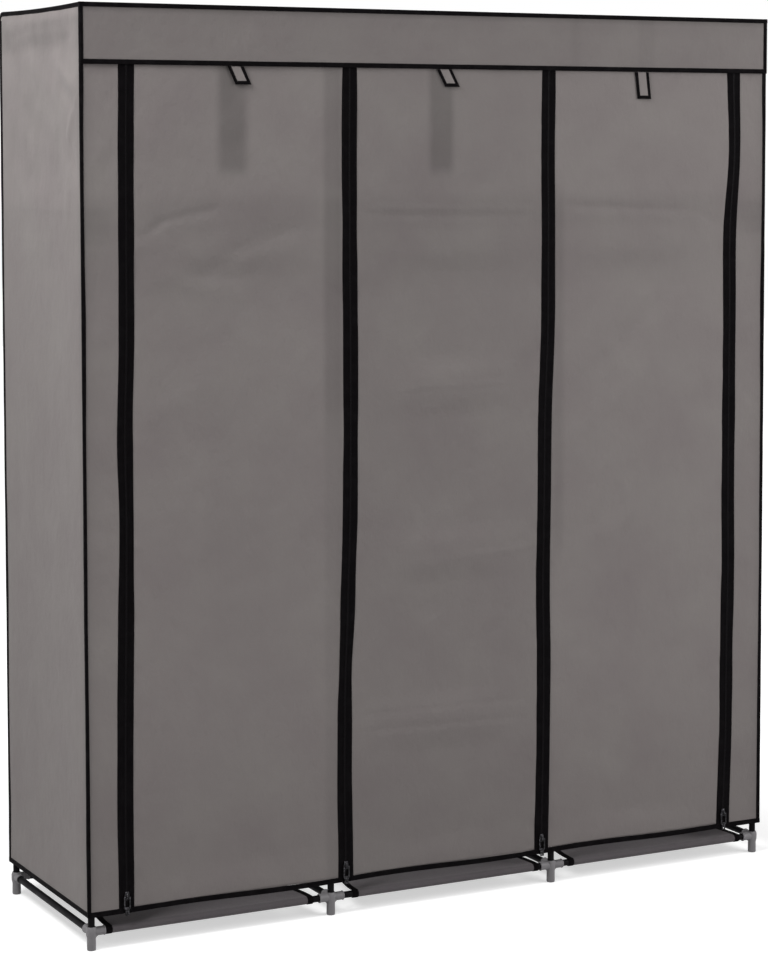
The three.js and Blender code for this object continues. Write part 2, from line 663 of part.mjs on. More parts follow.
// Pull: a ring whose upper bar is the axle under the slider's bridge, and a drilled tail.
function zipPull() {
  const half = PULL_WIDTH / 2;
  const top = PULL / 2;
  const ringEnd = top - PULL_FRAME;
  const tailHalf = PULL_TAIL_WIDTH / 2;
  const outline = polygon([
    [-half, top],
    [-half, ringEnd],
    [-tailHalf, ringEnd - PULL_BAR],
    [-tailHalf, ringEnd - PULL_TAIL],
    [tailHalf, ringEnd - PULL_TAIL],
    [tailHalf, ringEnd - PULL_BAR],
    [half, ringEnd],
    [half, top],
  ]);
  const innerHalf = half - PULL_BAR;
  outline.holes.push(new THREE.Path([
    [-innerHalf, -top],
    [innerHalf, -top],
    [innerHalf, ringEnd + PULL_BAR],
    [-innerHalf, ringEnd + PULL_BAR],
  ].map(([x, y]) => new THREE.Vector2(x, y))));
  const eye = new THREE.Path();
  eye.absarc(0, ringEnd - PULL_TAIL + PULL_TAIL_WIDTH / 2, PULL_EYE / 2, 0, 2 * Math.PI, true);
  outline.holes.push(eye);
  const flatPull = plate(outline, PULL, SIDES).translate(0, 0, -PULL / 2);
  return flatPull.rotateX(Math.PI / 2);
}

// A narrow strip that hangs from its upper edge, bound down both sides and across its lower end.
function hangingStrip({ top, width, length, shift, binding, lowerBinding, topZ, inner }) {
  const span = (z) => {
    const middle = top + (shift * (topZ - z)) / length;
    return [middle - width / 2, middle + width / 2];
  };
  const sides = binding ? [boundEdge(0, binding), boundEdge(1, binding)] : [[line(0)], [line(1)]];
  return panel({
    across: sides.flat(),
    up: [...boundEdge(0, lowerBinding), line(1)],
    spanAcross: span,
    spanUp: () => [topZ - length, topZ],
    lift: flat,
    place: frontPlace(inner),
  });
}

// Frame
for (const row of ["front", "back"]) {
  COLUMNS.forEach((_, column) => {
    addPiece(`foot_connector_${row}_${column + 1}`, geometryOf(footConnector(column, row)), socketGrey);
    addPiece(`post_${row}_${column + 1}`, geometryOf(post(column, row)), tubeBlack);
  });
  BAYS.forEach((name, bay) => {
    const ends = [COLUMNS[bay], COLUMNS[bay + 1]].map((x) => new THREE.Vector3(x, rowY(row), TOP_Z));
    const rail = railTube(ends[0], ends[1]);
    addPiece(`top_rail_${row}_${name}`, geometryOf(rail.outer.subtract(rail.bore)), tubeBlack);
  });
}
addPiece("hanging_rod_left", geometryOf(hangingRod(0)), tubeBlack);
addPiece("hanging_rod_right", geometryOf(hangingRod(BAYS.length - 1)), tubeBlack);

// Shelves
BAYS.forEach((name, bay) => {
  addPiece(`shelf_bottom_${name}`, geometryOf(shelf(bay, BASE_Z)), shelfGrey);
  addPiece(`shelf_top_${name}`, geometryOf(shelf(bay, TOP_SHELF_Z)), shelfGrey);
});
MIDDLE_LEVELS.forEach((z, i) => addPiece(`shelf_middle_${i + 1}`, geometryOf(shelf(1, z)), shelfGrey));

// Cover
addPiece("cover_left_side", coverSide(-1), clothGrey);
addPiece("cover_right_side", coverSide(1), clothGrey);
addPiece("cover_back", coverBack(), clothGrey);
addPiece("cover_top", coverTop(), clothGrey);
addPiece("cover_valance", coverValance(), clothGrey);
addPiece("cover_flange_left", coverFlange(-1), clothGrey);
addPiece("cover_flange_right", coverFlange(1), clothGrey);

// Doors, with the loop and the strap that tie each one up
BAYS.forEach((name, bay) => {
  addPiece(`door_${name}`, door(bay), clothGrey);
  addPiece(`door_hem_${name}`, doorHem(bay), trimBlack);
  const loop = {
    top: LOOP_TOPS[bay],
    width: LOOP_WIDTH,
    length: LOOP_LENGTHS[bay],
    shift: LOOP_SHIFTS[bay],
    binding: LOOP_BINDING,
    lowerBinding: LOOP_BINDING,
    topZ: VALANCE_Z - GAP,
    inner: VALANCE_INNER,
  };
  addPiece(`tie_loop_${name}`, hangingStrip(loop), clothGrey);
  const strap = {
    top: LOOP_TOPS[bay],
    width: STRAP_WIDTH,
    length: STRAP_LENGTH,
    shift: 0,
    binding: 0,
    lowerBinding: STRAP_HEM,
    topZ: VALANCE_Z - GAP,
    inner: FACE_INNER - GAP - CLOTH - BINDING_RISE,
  };
  addPiece(`tie_strap_${name}`, hangingStrip(strap), clothGrey);
});

// Zip sliders at the foot of their zips, and the pulls that hang from them
ZIP_TOPS.forEach((_, zip) => {
  const place = new THREE.Vector3(zipX(zip, SLIDER_Z), -FACE_INNER - TAPE_MIDDLE, SLIDER_Z);
  addPiece(`zip_slider_${zip + 1}`, geometryOf(zipSlider()), sliderMetal, place);
  const pivot = new THREE.Vector3(place.x, -FACE_INNER - PIVOT_OUT, SLIDER_Z - PIVOT_DROP);
  addPiece(`zip_pull_${zip + 1}`, zipPull(), sliderMetal, pivot);
});

export default wardrobe;
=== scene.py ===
"""Portable fabric wardrobe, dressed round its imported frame: round tubes in moulded sockets, cloth
shelves on rails, and a sewn cloth cover with bound edges, four zips, tie loops and lifting doors.

Metres, +Z up, the doors face -Y. Places come from the frame's own boxes and joints, so that each
piece sits where its solid sits. Every shape is a surface worked out on whole numpy arrays."""
import functools
import json
import math

import bmesh
import bpy
import numpy as np
from bpy.props import FloatProperty, FloatVectorProperty, PointerProperty
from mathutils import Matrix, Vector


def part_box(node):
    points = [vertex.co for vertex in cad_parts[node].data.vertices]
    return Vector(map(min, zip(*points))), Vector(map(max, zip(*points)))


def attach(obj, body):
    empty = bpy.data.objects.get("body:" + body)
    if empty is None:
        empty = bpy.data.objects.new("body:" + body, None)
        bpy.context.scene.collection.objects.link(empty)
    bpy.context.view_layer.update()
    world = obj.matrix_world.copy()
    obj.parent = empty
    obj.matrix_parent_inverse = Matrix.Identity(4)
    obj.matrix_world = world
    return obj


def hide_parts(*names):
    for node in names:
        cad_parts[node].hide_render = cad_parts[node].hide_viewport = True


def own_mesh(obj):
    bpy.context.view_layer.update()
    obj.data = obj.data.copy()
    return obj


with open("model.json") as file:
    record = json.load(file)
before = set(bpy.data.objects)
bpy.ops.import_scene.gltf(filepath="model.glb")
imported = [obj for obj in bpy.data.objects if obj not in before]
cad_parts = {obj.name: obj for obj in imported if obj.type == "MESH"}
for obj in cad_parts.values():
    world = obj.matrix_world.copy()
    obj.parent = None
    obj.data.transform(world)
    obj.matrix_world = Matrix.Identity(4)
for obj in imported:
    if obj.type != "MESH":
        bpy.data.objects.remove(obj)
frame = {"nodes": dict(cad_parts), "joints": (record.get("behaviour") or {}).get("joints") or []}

bl_info = {
    "name": "Portable fabric wardrobe",
    "version": (1, 0, 0),
    "blender": (4, 5, 0),
    "location": "3D View > Sidebar > Wardrobe",
    "description": "Builds the cloth cover, tubes, sockets, shelves and zips of a fabric wardrobe",
    "category": "Object",
}

IMAGE_SIZE = (768, 954)  # pixels
BAYS = ("left", "middle", "right")
HANDS = (("left", -1), ("right", 1))
SHELVES = [f"shelf_{height}_{end}" for height, ends in
           (("bottom", BAYS), ("middle", (1, 2, 3)), ("top", BAYS)) for end in ends]
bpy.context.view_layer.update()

X, Y, Z = np.eye(3)


# Settings that a user would change


def length(name, description, default):
    """A size in metres."""
    return FloatProperty(name=name, description=description, default=default, unit="LENGTH",
                         subtype="DISTANCE", min=0.0, precision=4)


def factor(name, description, default):
    """A plain number between nothing and one."""
    return FloatProperty(name=name, description=description, default=default, subtype="FACTOR",
                         min=0.0, max=1.0)


def colour(name, description, default):
    """A colour in linear light."""
    return FloatVectorProperty(name=name, description=description, default=default, subtype="COLOR",
                               size=3, min=0.0, max=1.0)


class ClothSettings(bpy.types.PropertyGroup):
    """The cover's and the shelves' cloth."""

    cover_colour: colour("Cover", "Colour of the cover's cloth", (0.2015, 0.1805, 0.1765))
    shelf_colour: colour("Shelves", "Colour of the shelves' cloth", (0.083, 0.0735, 0.079))
    thickness: length("Thickness", "Thickness of the cover's cloth", 0.0009)
    cell: length("Mesh cell", "Side of the cloth's mesh cells", 0.0055)
    sink: length("Sink", "How far the cloth sinks in between its edges", 0.0042)
    ripple: length("Ripple", "Height of the broad ripples", 0.0013)
    # Strength of the painted shade: how far the cloth's per-point painted shade darkens its colour
    shading: factor("Backing", "How much darker the cloth is over something dark", 0.42)


class TrimSettings(bpy.types.PropertyGroup):
    """The black bindings and their stitches."""

    colour: colour("Binding", "Colour of the binding tape", (0.0019, 0.0014, 0.0018))
    rise: length("Rise", "How far a binding stands out of the cloth", 0.001)
    corner: length("Corner binding", "Visible width of the corners' bindings", 0.006)
    top: length("Top binding", "Visible width of the top edges' bindings", 0.0085)
    hem: length("Hem binding", "Visible width of the hems' bindings", 0.010)
    valance: length("Valance binding", "Visible width of the valance's binding", 0.009)
    shelf: length("Shelf binding", "Visible width of the shelves' bindings", 0.012)
    loop: length("Loop binding", "Visible width of the tie loops' bindings", 0.0067)
    stitch: length("Stitch", "Length of a stitch", 0.0026)
    stitch_pitch: length("Stitch pitch", "Distance from one stitch to the next", 0.0036)
    thread: length("Thread", "Thickness of the thread", 0.0005)


class ZipSettings(bpy.types.PropertyGroup):
    """The zips' tapes and coils."""

    tape: length("Tape", "Width of the tape on either side of the zip", 0.0155)
    coil: length("Coil", "Width of one half of the coil", 0.0028)
    coil_rise: length("Coil rise", "How far the coil stands out of its tape", 0.0011)
    turn: length("Turn", "Distance from one turn of the coil to the next", 0.0018)
    metal: colour("Metal", "Colour of the sliders and pulls", (0.030, 0.029, 0.032))


class TubeSettings(bpy.types.PropertyGroup):
    """The tubes and the sockets that join them."""

    tube: length("Tube", "Outside diameter of the tubes", 0.013)
    socket: length("Socket", "Outside diameter of the sockets", 0.017)
    reach: length("Reach", "From a post's axis to a socket's mouth", 0.026)
    sleeve: length("Sleeve", "Height of the collar round a post", 0.028)
    lip: length("Lip", "Width of the ring round a socket's mouth", 0.0024)
    heel: length("Heel", "Height of the solid heel under a post", 0.012)
    paint: colour("Paint", "Colour of the tubes' coating", (0.0040, 0.0036, 0.0043))
    plastic: colour("Plastic", "Colour of the moulded sockets", (0.190, 0.183, 0.190))


class StudioSettings(bpy.types.PropertyGroup):
    """The camera and the light."""

    camera_place: FloatVectorProperty(name="Camera", description="Where the camera stands", size=3,
                                      default=(-2.442, -4.820, 1.496), unit="LENGTH",
                                      subtype="TRANSLATION")
    yaw: FloatProperty(name="Yaw", description="How far the camera is turned to the right",
                       default=math.radians(27.94), subtype="ANGLE", unit="ROTATION")
    pitch: FloatProperty(name="Pitch", description="How far the camera looks down",
                         default=math.radians(4.16), subtype="ANGLE", unit="ROTATION")
    focal_pixels: FloatProperty(name="Focal length", default=2673.0,
                                description="Focal length in pixels of the finished image")
    shift_pixels: FloatVectorProperty(name="Shift", size=2, default=(60.0, -140.0),
                                      description="Shift of the picture in pixels, right and down")
    key: FloatProperty(name="Key light", description="Radiant power of the main light",
                       default=109.0, unit="POWER")
    fill: FloatProperty(name="Fill light", description="Radiant power of the front light",
                        default=83.0, unit="POWER")
    sky: FloatProperty(name="Room light", description="Strength of the even light of the room",
                       default=0.16, min=0.0)
    floor_colour: colour("Floor", "Colour of the floor", (0.66, 0.66, 0.66))


# Where things are


def corners(node):
    """The lowest and the highest corner of a node's solid."""
    low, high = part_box(node)
    return np.array(low), np.array(high)


def middle(node):
    """The centre of a node's box."""
    low, high = corners(node)
    return (low + high) / 2


def joint(name):
    """A joint of the frame, by name."""
    return next(j for j in frame["joints"] if j["name"] == name)


class Workshop:
    """What all operators share: the settings, the finishes, and the columns, levels, planes and
    seams, worked out from the frame's boxes."""

    def __init__(self, scene):
        self.cloth, self.trim = scene.wardrobe_cloth, scene.wardrobe_trim
        self.zips, self.tubes = scene.wardrobe_zips, scene.wardrobe_tubes
        self.finishes = finishes(self.cloth, self.trim, self.zips, self.tubes)
        self.socket, self.bore = self.tubes.socket / 2, self.tubes.tube / 2 + 0.0004
        self.columns = [corners("post_front_1")[0][0] + self.socket, middle("post_front_2")[0],
                        middle("post_front_3")[0], corners("post_front_4")[1][0] - self.socket]
        self.rows = {"front": corners("post_front_1")[0][1] + self.socket,
                     "back": corners("post_back_1")[1][1] - self.socket}
        self.levels = {shelf: middle(shelf)[2] for shelf in SHELVES}
        self.base, self.top_shelf = self.levels["shelf_bottom_left"], self.levels["shelf_top_left"]
        self.middle_levels = [self.levels[f"shelf_middle_{n}"] for n in (1, 2, 3)]
        self.rod, self.crown = middle("hanging_rod_left")[2], middle("top_rail_front_left")[2]
        rise = self.trim.rise
        self.side = corners("cover_right_side")[1][0] - rise
        self.back = corners("cover_back")[1][1] - rise
        self.front = corners("door_hem_middle")[0][1] + rise
        self.valance = corners("cover_valance")[0][1] + rise
        self.roof = corners("cover_top")[1][2] - rise
        self.hem = corners("cover_flange_left")[0][2]
        self.valance_hem = corners("cover_valance")[0][2]
        self.door_top = corners("door_middle")[1][2]
        self.sliders = [middle(f"zip_slider_{n}") for n in range(1, 5)]
        axis = np.array(joint("zip_1_slide")["axis"], float)
        self.lean = axis[0] / axis[2]

    def zip_x(self, number, z):
        """A zip's straight line, along which its slider runs: its place across at each height."""
        slider = self.sliders[number]
        return slider[0] + self.lean * (z - slider[2])

    def seam_x(self, number, z):
        """The line that the sewn zip really takes: the straight one and its strays, which are
        joined by smooth steps and are nothing at the slider and at the top."""
        heights = np.linspace(self.sliders[number][2], self.door_top, len(ZIP_STRAYS[number]))
        return self.zip_x(number, z) + smooth_through(z, heights, ZIP_STRAYS[number])

    def edges(self, z):
        """The front's vertical lines from left to right at each height: corner, zips, corner."""
        zips = [self.seam_x(n, z) for n in range(len(ZIP_STRAYS))]
        return np.stack([np.full_like(z, -self.side), *zips, np.full_like(z, self.side)])


@functools.cache
def workshop():
    """The workshop, made on first use."""
    return Workshop(bpy.context.scene)


# How far each sewn zip strays to the right of its straight line, in metres, at even heights
# from the slider up to the top
ZIP_STRAYS = (
    (0.0, -0.0025, -0.002, -0.0005, 0.0005, -0.003, 0.0005, 0.0, -0.0008, 0.0),
    (0.0, -0.0035, -0.0035, 0.002, 0.006, 0.0062, 0.0045, 0.002, 0.0, 0.0),
    (0.0, 0.002, 0.002, -0.0022, -0.001, -0.0012, 0.004, 0.003, 0.0, 0.0),
    (0.0, 0.004, 0.003, 0.0042, 0.001, 0.0, -0.0012, -0.0042, 0.0062, 0.0),
)


# Smooth helpers


def smooth_step(value, low, high):
    """Rises from nothing at low to one at high, level at both ends."""
    t = np.clip((value - low) / (high - low), 0, 1)
    return t * t * (3 - 2 * t)


def smooth_through(value, places, heights):
    """A curve through the given heights at even places: each stretch between two of them is a
    smooth step, softened by averaging it with itself a quarter of a stretch to either side."""
    known = np.asarray(heights, float)

    def stepped(at):
        t = np.clip((at - places[0]) / (places[1] - places[0]), 0, len(places) - 1)
        cell = np.minimum(t.astype(int), len(places) - 2)
        part = t - cell
        return known[cell] + (known[cell + 1] - known[cell]) * part * part * (3 - 2 * part)

    half = (places[1] - places[0]) / 4
    return (stepped(value - half) + 2 * stepped(value) + stepped(value + half)) / 4


def cloudy(x, y, cell, seed):
    """Smooth noise between about -1 and 1: random heights on a lattice of square cells, joined
    by smooth steps along both directions."""
    lattice = np.random.default_rng(seed).uniform(-1, 1, (128, 128))
    across, up = x / cell + 40.3, y / cell + 40.7
    i, j = np.floor(across).astype(int), np.floor(up).astype(int)
    a, b = across - i, up - j
    a, b = a * a * (3 - 2 * a), b * b * (3 - 2 * b)
    pick = lambda m, n: lattice[m % 128, n % 128]
    low = pick(i, j) * (1 - a) + pick(i + 1, j) * a
    high = pick(i, j + 1) * (1 - a) + pick(i + 1, j + 1) * a
    return low * (1 - b) + high * b


def bell(distance, width):
    """One at no distance, falling off as a bell curve."""
    return np.exp(-((distance / width) ** 2))


def fold_line(x, y, start, end, width):
    """A soft fold along a straight line: a bell curve across it that fades out at both ends."""
    start, run = np.array(start), np.array(end) - np.array(start)
    size = np.hypot(*run)
    along = ((x - start[0]) * run[0] + (y - start[1]) * run[1]) / size**2
    across = ((x - start[0]) * run[1] - (y - start[1]) * run[0]) / size
    ends = smooth_step(along, -0.12, 0.18) * smooth_step(1 - along, -0.12, 0.18)
    return bell(across, width) * ends


# Meshes from grids of points


class Skin:
    """Grids of points gathered into one mesh."""

    def __init__(self):
        self.points, self.faces, self.uvs, self.marks, self.count = [], [], [], [], 0

    def keep(self, flat, uv=None, marks=None):
        """Stores points with their coordinates in the cloth and their painted shade, if they have
        any.
        """
        self.points.append(flat)
        self.uvs.append(np.zeros((len(flat), 2)) if uv is None else uv.reshape(-1, 2))
        self.marks.append(np.zeros(len(flat)) if marks is None else marks.ravel())
        self.count += len(flat)

    def add(self, grid, uv=None, marks=None, ring=False, capped=False):
        """Adds a grid of points, rows by columns. Its faces point along (next column) x (next
        row). A ring's last column meets its first, and a capped ring's two ends are closed and
        the whole faces outwards, which the sign of its volume tells."""
        rows, columns = grid.shape[:2]
        index = np.arange(rows * columns).reshape(rows, columns)
        around = np.hstack([index, index[:, :1]]) if ring else index
        quads = np.stack([around[:-1, :-1], around[:-1, 1:], around[1:, 1:], around[1:, :-1]], -1)
        quads = quads.reshape(-1, 4)
        caps = [index[:1, ::-1], index[-1:]] if capped else []
        flat = grid.reshape(-1, 3)
        groups = [quads, *caps]
        if capped and volume(flat, groups) < 0:
            groups = [group[:, ::-1] for group in groups]
        self.faces += [group + self.count for group in groups]
        self.keep(flat, uv, marks)

    def copies(self, shape, faces, places, turns):
        """Adds many copies of one small shape: its points are turned by each copy's matrix and
        put at its place."""
        points = np.einsum("nij,kj->nki", turns, shape) + places[:, None]
        shift = np.arange(len(places))[:, None, None] * len(shape) + self.count
        for group in faces:
            self.faces.append((np.array(group)[None] + shift).reshape(-1, len(group[0])))
        self.keep(points.reshape(-1, 3))


def volume(points, groups):
    """Six times the volume inside a closed set of faces: the sum of the tetrahedra from the
    first point to each triangle of each face's fan."""
    offset = points - points[0]
    triangles = np.vstack([group[:, [0, k, k + 1]] for group in groups
                           for k in range(1, group.shape[1] - 1)])
    a, b, c = (offset[triangles[:, k]] for k in range(3))
    return float((a * np.cross(b, c)).sum())


def linked(name, data):
    """An object of some data, put into the scene."""
    made = bpy.data.objects.new(name, data)
    bpy.context.scene.collection.objects.link(made)
    return made


def dressed(name, mesh, slot, body, stands_for, finish=None, smooth_angle=40):
    """Makes a mesh into an object that rides on a body, stands for CAD nodes and takes its
    finish from a slot. Edges sharper than the angle stay crisp."""
    mesh.shade_smooth()
    mesh.set_sharp_from_angle(angle=math.radians(smooth_angle))
    mesh.materials.append(workshop().finishes[finish or slot])
    made = linked(name, mesh)
    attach(made, body)
    if stands_for:
        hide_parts(*stands_for)
    return made


def piece(name, skin, slot, body="root", stands_for=(), **looks):
    """Makes a skin into a piece. Its coordinates in the cloth and its painted shade go with it."""
    mesh = bpy.data.meshes.new(name)
    faces = [face for group in skin.faces for face in group.tolist()]
    mesh.from_pydata(np.concatenate(skin.points), [], faces)
    corner = np.empty(len(mesh.loops), dtype=np.int32)
    mesh.loops.foreach_get("vertex_index", corner)
    layer = mesh.uv_layers.new(name="cut")
    layer.data.foreach_set("uv", np.concatenate(skin.uvs)[corner].ravel().astype(np.float32))
    # Each point's painted shade, by which the cloth's material darkens its colour
    marks = mesh.attributes.new("backing", "FLOAT", "POINT")
    marks.data.foreach_set("value", np.concatenate(skin.marks).astype(np.float32))
    return dressed(name, mesh, slot, body, stands_for, **looks)


def joined(*parts):
    """Points from their coordinates, each an array or one number for all."""
    return np.stack(np.broadcast_arrays(*parts), -1)


def distances(path):
    """How far along a path each of its points is."""
    return np.concatenate([[0], np.cumsum(np.linalg.norm(np.diff(path, axis=0), axis=1))])


def thicken(made, thickness):
    """Gives a sheet its thickness, behind its outer face."""
    wall = made.modifiers.new("Thickness", "SOLIDIFY")
    wall.thickness = thickness
    wall.offset = -1.0
    return made


def turned(skin, start, axis, profile, sides=28):
    """Turns a profile of (radius, distance along) pairs round an axis and closes both ends."""
    profile = np.array(profile, float)
    first = np.cross(axis, Y if abs(axis[2]) > 0.5 else Z)
    second = np.cross(axis, first)
    angle = np.linspace(0, 2 * math.pi, sides, endpoint=False)
    spokes = np.cos(angle)[:, None] * first + np.sin(angle)[:, None] * second
    grid = start + profile[:, 1, None, None] * axis + profile[:, 0, None, None] * spokes
    skin.add(grid, ring=True, capped=True)


def carried(skin, path, across, out, profile):
    """Carries a closed profile along a path: every point is the path's point plus the profile's
    first number times the across vector and its second times the out vector there. Its own
    coordinates are the distance along the path and the distance round the profile."""
    profile = np.array(profile, float)
    path = np.asarray(path, float)
    across, out = (np.broadcast_to(way, path.shape)[:, None] for way in (across, out))
    grid = path[:, None] + profile[:, 0, None] * across + profile[:, 1, None] * out
    uv = np.stack(np.meshgrid(distances(path), distances(profile), indexing="ij"), -1)
    skin.add(grid, uv=uv, ring=True, capped=True)


STITCH_SHAPE = np.array([(-1.0, 0.3, -0.5), (-1.0, 0.0, -0.2), (-1.0, -0.3, -0.5),
                         (0.0, 1.0, -0.3), (0.0, 0.0, 1.0), (0.0, -1.0, -0.3),
                         (1.0, 0.3, -0.5), (1.0, 0.0, -0.2), (1.0, -0.3, -0.5)])
STITCH_FACES = (
    ((0, 1, 4, 3), (1, 2, 5, 4), (2, 0, 3, 5), (3, 4, 7, 6), (4, 5, 8, 7), (5, 3, 6, 8)),
    ((0, 2, 1), (6, 7, 8)),
)


def stitched(skin, path, out):
    """Lays stitches along a path. Each is a short thread, pointed where it goes into the cloth,
    as long as the stitch, and lies along the path with its back along the out vector."""
    trim, gone = workshop().trim, distances(path)
    at = np.arange(trim.stitch_pitch / 2, gone[-1], trim.stitch_pitch)
    out = np.broadcast_to(np.asarray(out, float), path.shape)
    place, ahead, back, up = (
        np.stack([np.interp(at + shift, gone, line[:, k]) for k in range(3)], -1)
        for line, shift in ((path, 0), (path, 1e-4), (path, -1e-4), (out, 0)))
    run = ahead - back
    run /= np.linalg.norm(run, axis=1)[:, None]
    side = np.cross(up, run)
    side /= np.linalg.norm(side, axis=1)[:, None]
    turns = np.stack([run * trim.stitch / 2, side * trim.thread / 2, up * trim.thread / 2], -1)
    skin.copies(STITCH_SHAPE, STITCH_FACES, place, turns)


# Materials


class Wire:
    """An output socket in a material. Sums and products on wires add the Math nodes for them."""

    def __init__(self, recipe, socket):
        self.recipe, self.socket = recipe, socket

    def math(self, operation, *values):
        return self.recipe.node("ShaderNodeMath", {"operation": operation}, dict(enumerate(values)))

    def __add__(self, other):
        return self.math("ADD", self, other)

    def __mul__(self, other):
        return self.math("MULTIPLY", self, other)

    def __pow__(self, other):
        return self.math("POWER", self, other)

    def __abs__(self):
        return self.math("ABSOLUTE", self)

    __radd__ = __add__
    __rmul__ = __mul__

    def sine(self):
        return self.math("SINE", self)

    def most(self, other):
        return self.math("MAXIMUM", self, other)


class Recipe:
    """A material in the making, or the world's background, with its shader."""

    def __init__(self, name, world=None):
        self.material = world or bpy.data.materials.new(name)
        self.material.use_nodes = True
        self.tree = self.material.node_tree
        self.shader = self.tree.nodes["Background" if world else "Principled BSDF"]

    def node(self, kind, settings=None, sockets=None, output=0):
        """Adds a node of any type: its settings first, then the values or wires of its sockets,
        by name or number. A setting called stops fills a ramp with (place, value) pairs."""
        made = self.tree.nodes.new(kind)
        for name, value in (settings or {}).items():
            if name == "stops":
                self.fill_ramp(made.color_ramp, value)
            else:
                setattr(made, name, value)
        for name, value in (sockets or {}).items():
            self.feed(made.inputs[name], value)
        return Wire(self, made.outputs[output])

    def fill_ramp(self, ramp, stops):
        while len(ramp.elements) < len(stops):
            ramp.elements.new(1.0)
        for element, (place, value) in zip(ramp.elements, stops):
            element.position = place
            element.color = (value, value, value, 1.0)

    def feed(self, socket, value):
        """Links a wire to a socket, or sets a plain value on it."""
        if isinstance(value, Wire):
            self.tree.links.new(value.socket, socket)
        elif socket.type == "RGBA" and len(value) == 3:
            socket.default_value = (*value, 1.0)
        else:
            socket.default_value = value

    def set(self, **values):
        """Sets the shader's sockets. Underscores in a name stand for spaces."""
        for name, value in values.items():
            self.feed(self.shader.inputs[name.replace("_", " ")], value)

    def object_place(self):
        return self.node("ShaderNodeTexCoord", output="Object")

    def cut_place(self):
        """The cloth's own coordinates in metres, as it was cut."""
        return self.node("ShaderNodeUVMap", {"uv_map": "cut"})

    def parts(self, vector):
        """A vector's two first numbers."""
        made = self.node("ShaderNodeSeparateXYZ", sockets={"Vector": vector}).socket.node
        return Wire(self, made.outputs[0]), Wire(self, made.outputs[1])

    def stretched(self, vector, scale):
        return self.node("ShaderNodeMapping", sockets={"Vector": vector, "Scale": scale})

    def noise(self, vector, scale, detail=3.0, roughness=0.5):
        """Noise between 0 and 1."""
        return self.node("ShaderNodeTexNoise", sockets={"Vector": vector, "Scale": scale,
                                                        "Detail": detail, "Roughness": roughness})

    def ramp(self, value, *stops):
        return self.node("ShaderNodeValToRGB", {"stops": stops}, {"Fac": value})

    def blend(self, factor, first, second):
        """Mixes two colours."""
        return self.node("ShaderNodeMix", {"data_type": "RGBA"},
                         {0: factor, 6: first, 7: second}, output=2)

    def bumps(self, *layers):
        """Stacks bumps on each other, each a (height, distance, strength)."""
        normal = None
        for height, distance, strength in layers:
            sockets = {"Height": height, "Distance": distance, "Strength": strength}
            if normal is not None:
                sockets["Normal"] = normal
            normal = self.node("ShaderNodeBump", sockets=sockets)
        self.set(Normal=normal)


def tint(base, factor):
    """A colour made lighter or darker."""
    return tuple(min(1.0, part * factor) for part in base)


def cloth_material(name, base, backing):
    """Non-woven cloth: thermally bonded fibres with a fine grid of pressed dots, faint clouds in
    its colour, shallow crumples, and painted shade: darker places where the shadows of what lies
    close behind show through the thin cloth, and where its folds and corners shade it."""
    recipe = Recipe(name)
    place = recipe.cut_place()
    across, up = recipe.parts(place)
    clouds = recipe.ramp(recipe.noise(place, 6.0, 4.0, 0.55), (0.25, 0.0), (0.75, 1.0))
    blotches = recipe.noise(recipe.stretched(place, (1.0, 0.6, 1.0)), 42.0, 3.0)
    fibres = recipe.noise(recipe.stretched(place, (1.0, 0.35, 1.0)), 900.0, 2.0)
    red, green, blue = base
    plain = recipe.blend(clouds, (red * 0.895, green * 0.865, blue * 0.885),
                         (red * 1.105, green * 1.13, blue * 1.105))
    flecked = recipe.blend(blotches * 0.5, plain, tint(base, 1.11))
    # Painted shade: the per-point values blend the colour towards a dark tint
    behind = recipe.node("ShaderNodeAttribute", {"attribute_name": "backing"}, output="Fac")
    shaded = recipe.blend(behind * backing, flecked, tint(base, 0.12))
    grain = recipe.ramp(fibres, (0.35, 0.0), (0.65, 1.0))
    recipe.set(Base_Color=recipe.blend(grain * 0.12, shaded, tint(base, 0.7)))
    recipe.set(Roughness=recipe.ramp(blotches, (0.3, 0.84), (0.7, 0.95)))
    recipe.set(Specular_IOR_Level=0.28, Sheen_Weight=0.12, Sheen_Roughness=0.6,
               Sheen_Tint=(0.9, 0.88, 0.87))
    dot = 2 * math.pi / 0.0021
    dots = abs((across * dot).sine() * (up * dot).sine()) ** 1.5
    crumples = recipe.noise(recipe.stretched(place, (1.0, 0.7, 1.0)), 26.0, 4.0, 0.6)
    recipe.bumps((crumples, 0.0045, 0.55), (dots, 0.00022, 0.5), (fibres, 0.00015, 0.4))
    return recipe.material


def tape_material(name, base, ribs, wear):
    """Woven tape: fine ribs along it, a crossing weave, and threads a little paler where they
    are rubbed."""
    recipe = Recipe(name)
    along, across = recipe.parts(recipe.cut_place())
    rib = abs((across * (math.pi / ribs)).sine())
    weave = abs((along * (math.pi / (ribs * 0.8))).sine())
    place = recipe.object_place()
    rubbed = recipe.ramp(recipe.noise(place, 60.0, 4.0, 0.6), (0.45, 0.0), (0.72, 1.0))
    raised = rib * weave
    recipe.set(Base_Color=recipe.blend(rubbed * raised * wear, base, (0.03, 0.027, 0.029)))
    recipe.set(Roughness=recipe.ramp(raised, (0.0, 0.92), (1.0, 0.72)))
    recipe.set(Specular_IOR_Level=0.04)
    recipe.bumps((recipe.noise(place, 140.0, 3.0), 0.0012, 0.35), (raised, 0.00022, 0.8))
    return recipe.material


def thread_material(name, base, twist):
    """Spun nylon: a slanting twist in its bumps, with painted highlights in its colour where the
    strands would catch the light.
    """
    recipe = Recipe(name)
    place = recipe.object_place()
    strands_and_highlights = recipe.noise(recipe.stretched(place, (1.0, 1.0, 2.5)), twist, 2.0)
    # Painted highlights: the strands' colour runs from darker to twice as light along the twist
    recipe.set(Base_Color=recipe.blend(strands_and_highlights, tint(base, 0.7), tint(base, 2.0)))
    recipe.set(Roughness=recipe.ramp(strands_and_highlights, (0.3, 0.4), (0.7, 0.6)), Specular_IOR_Level=0.08)
    recipe.bumps((strands_and_highlights, 0.0002, 0.5))
    return recipe.material


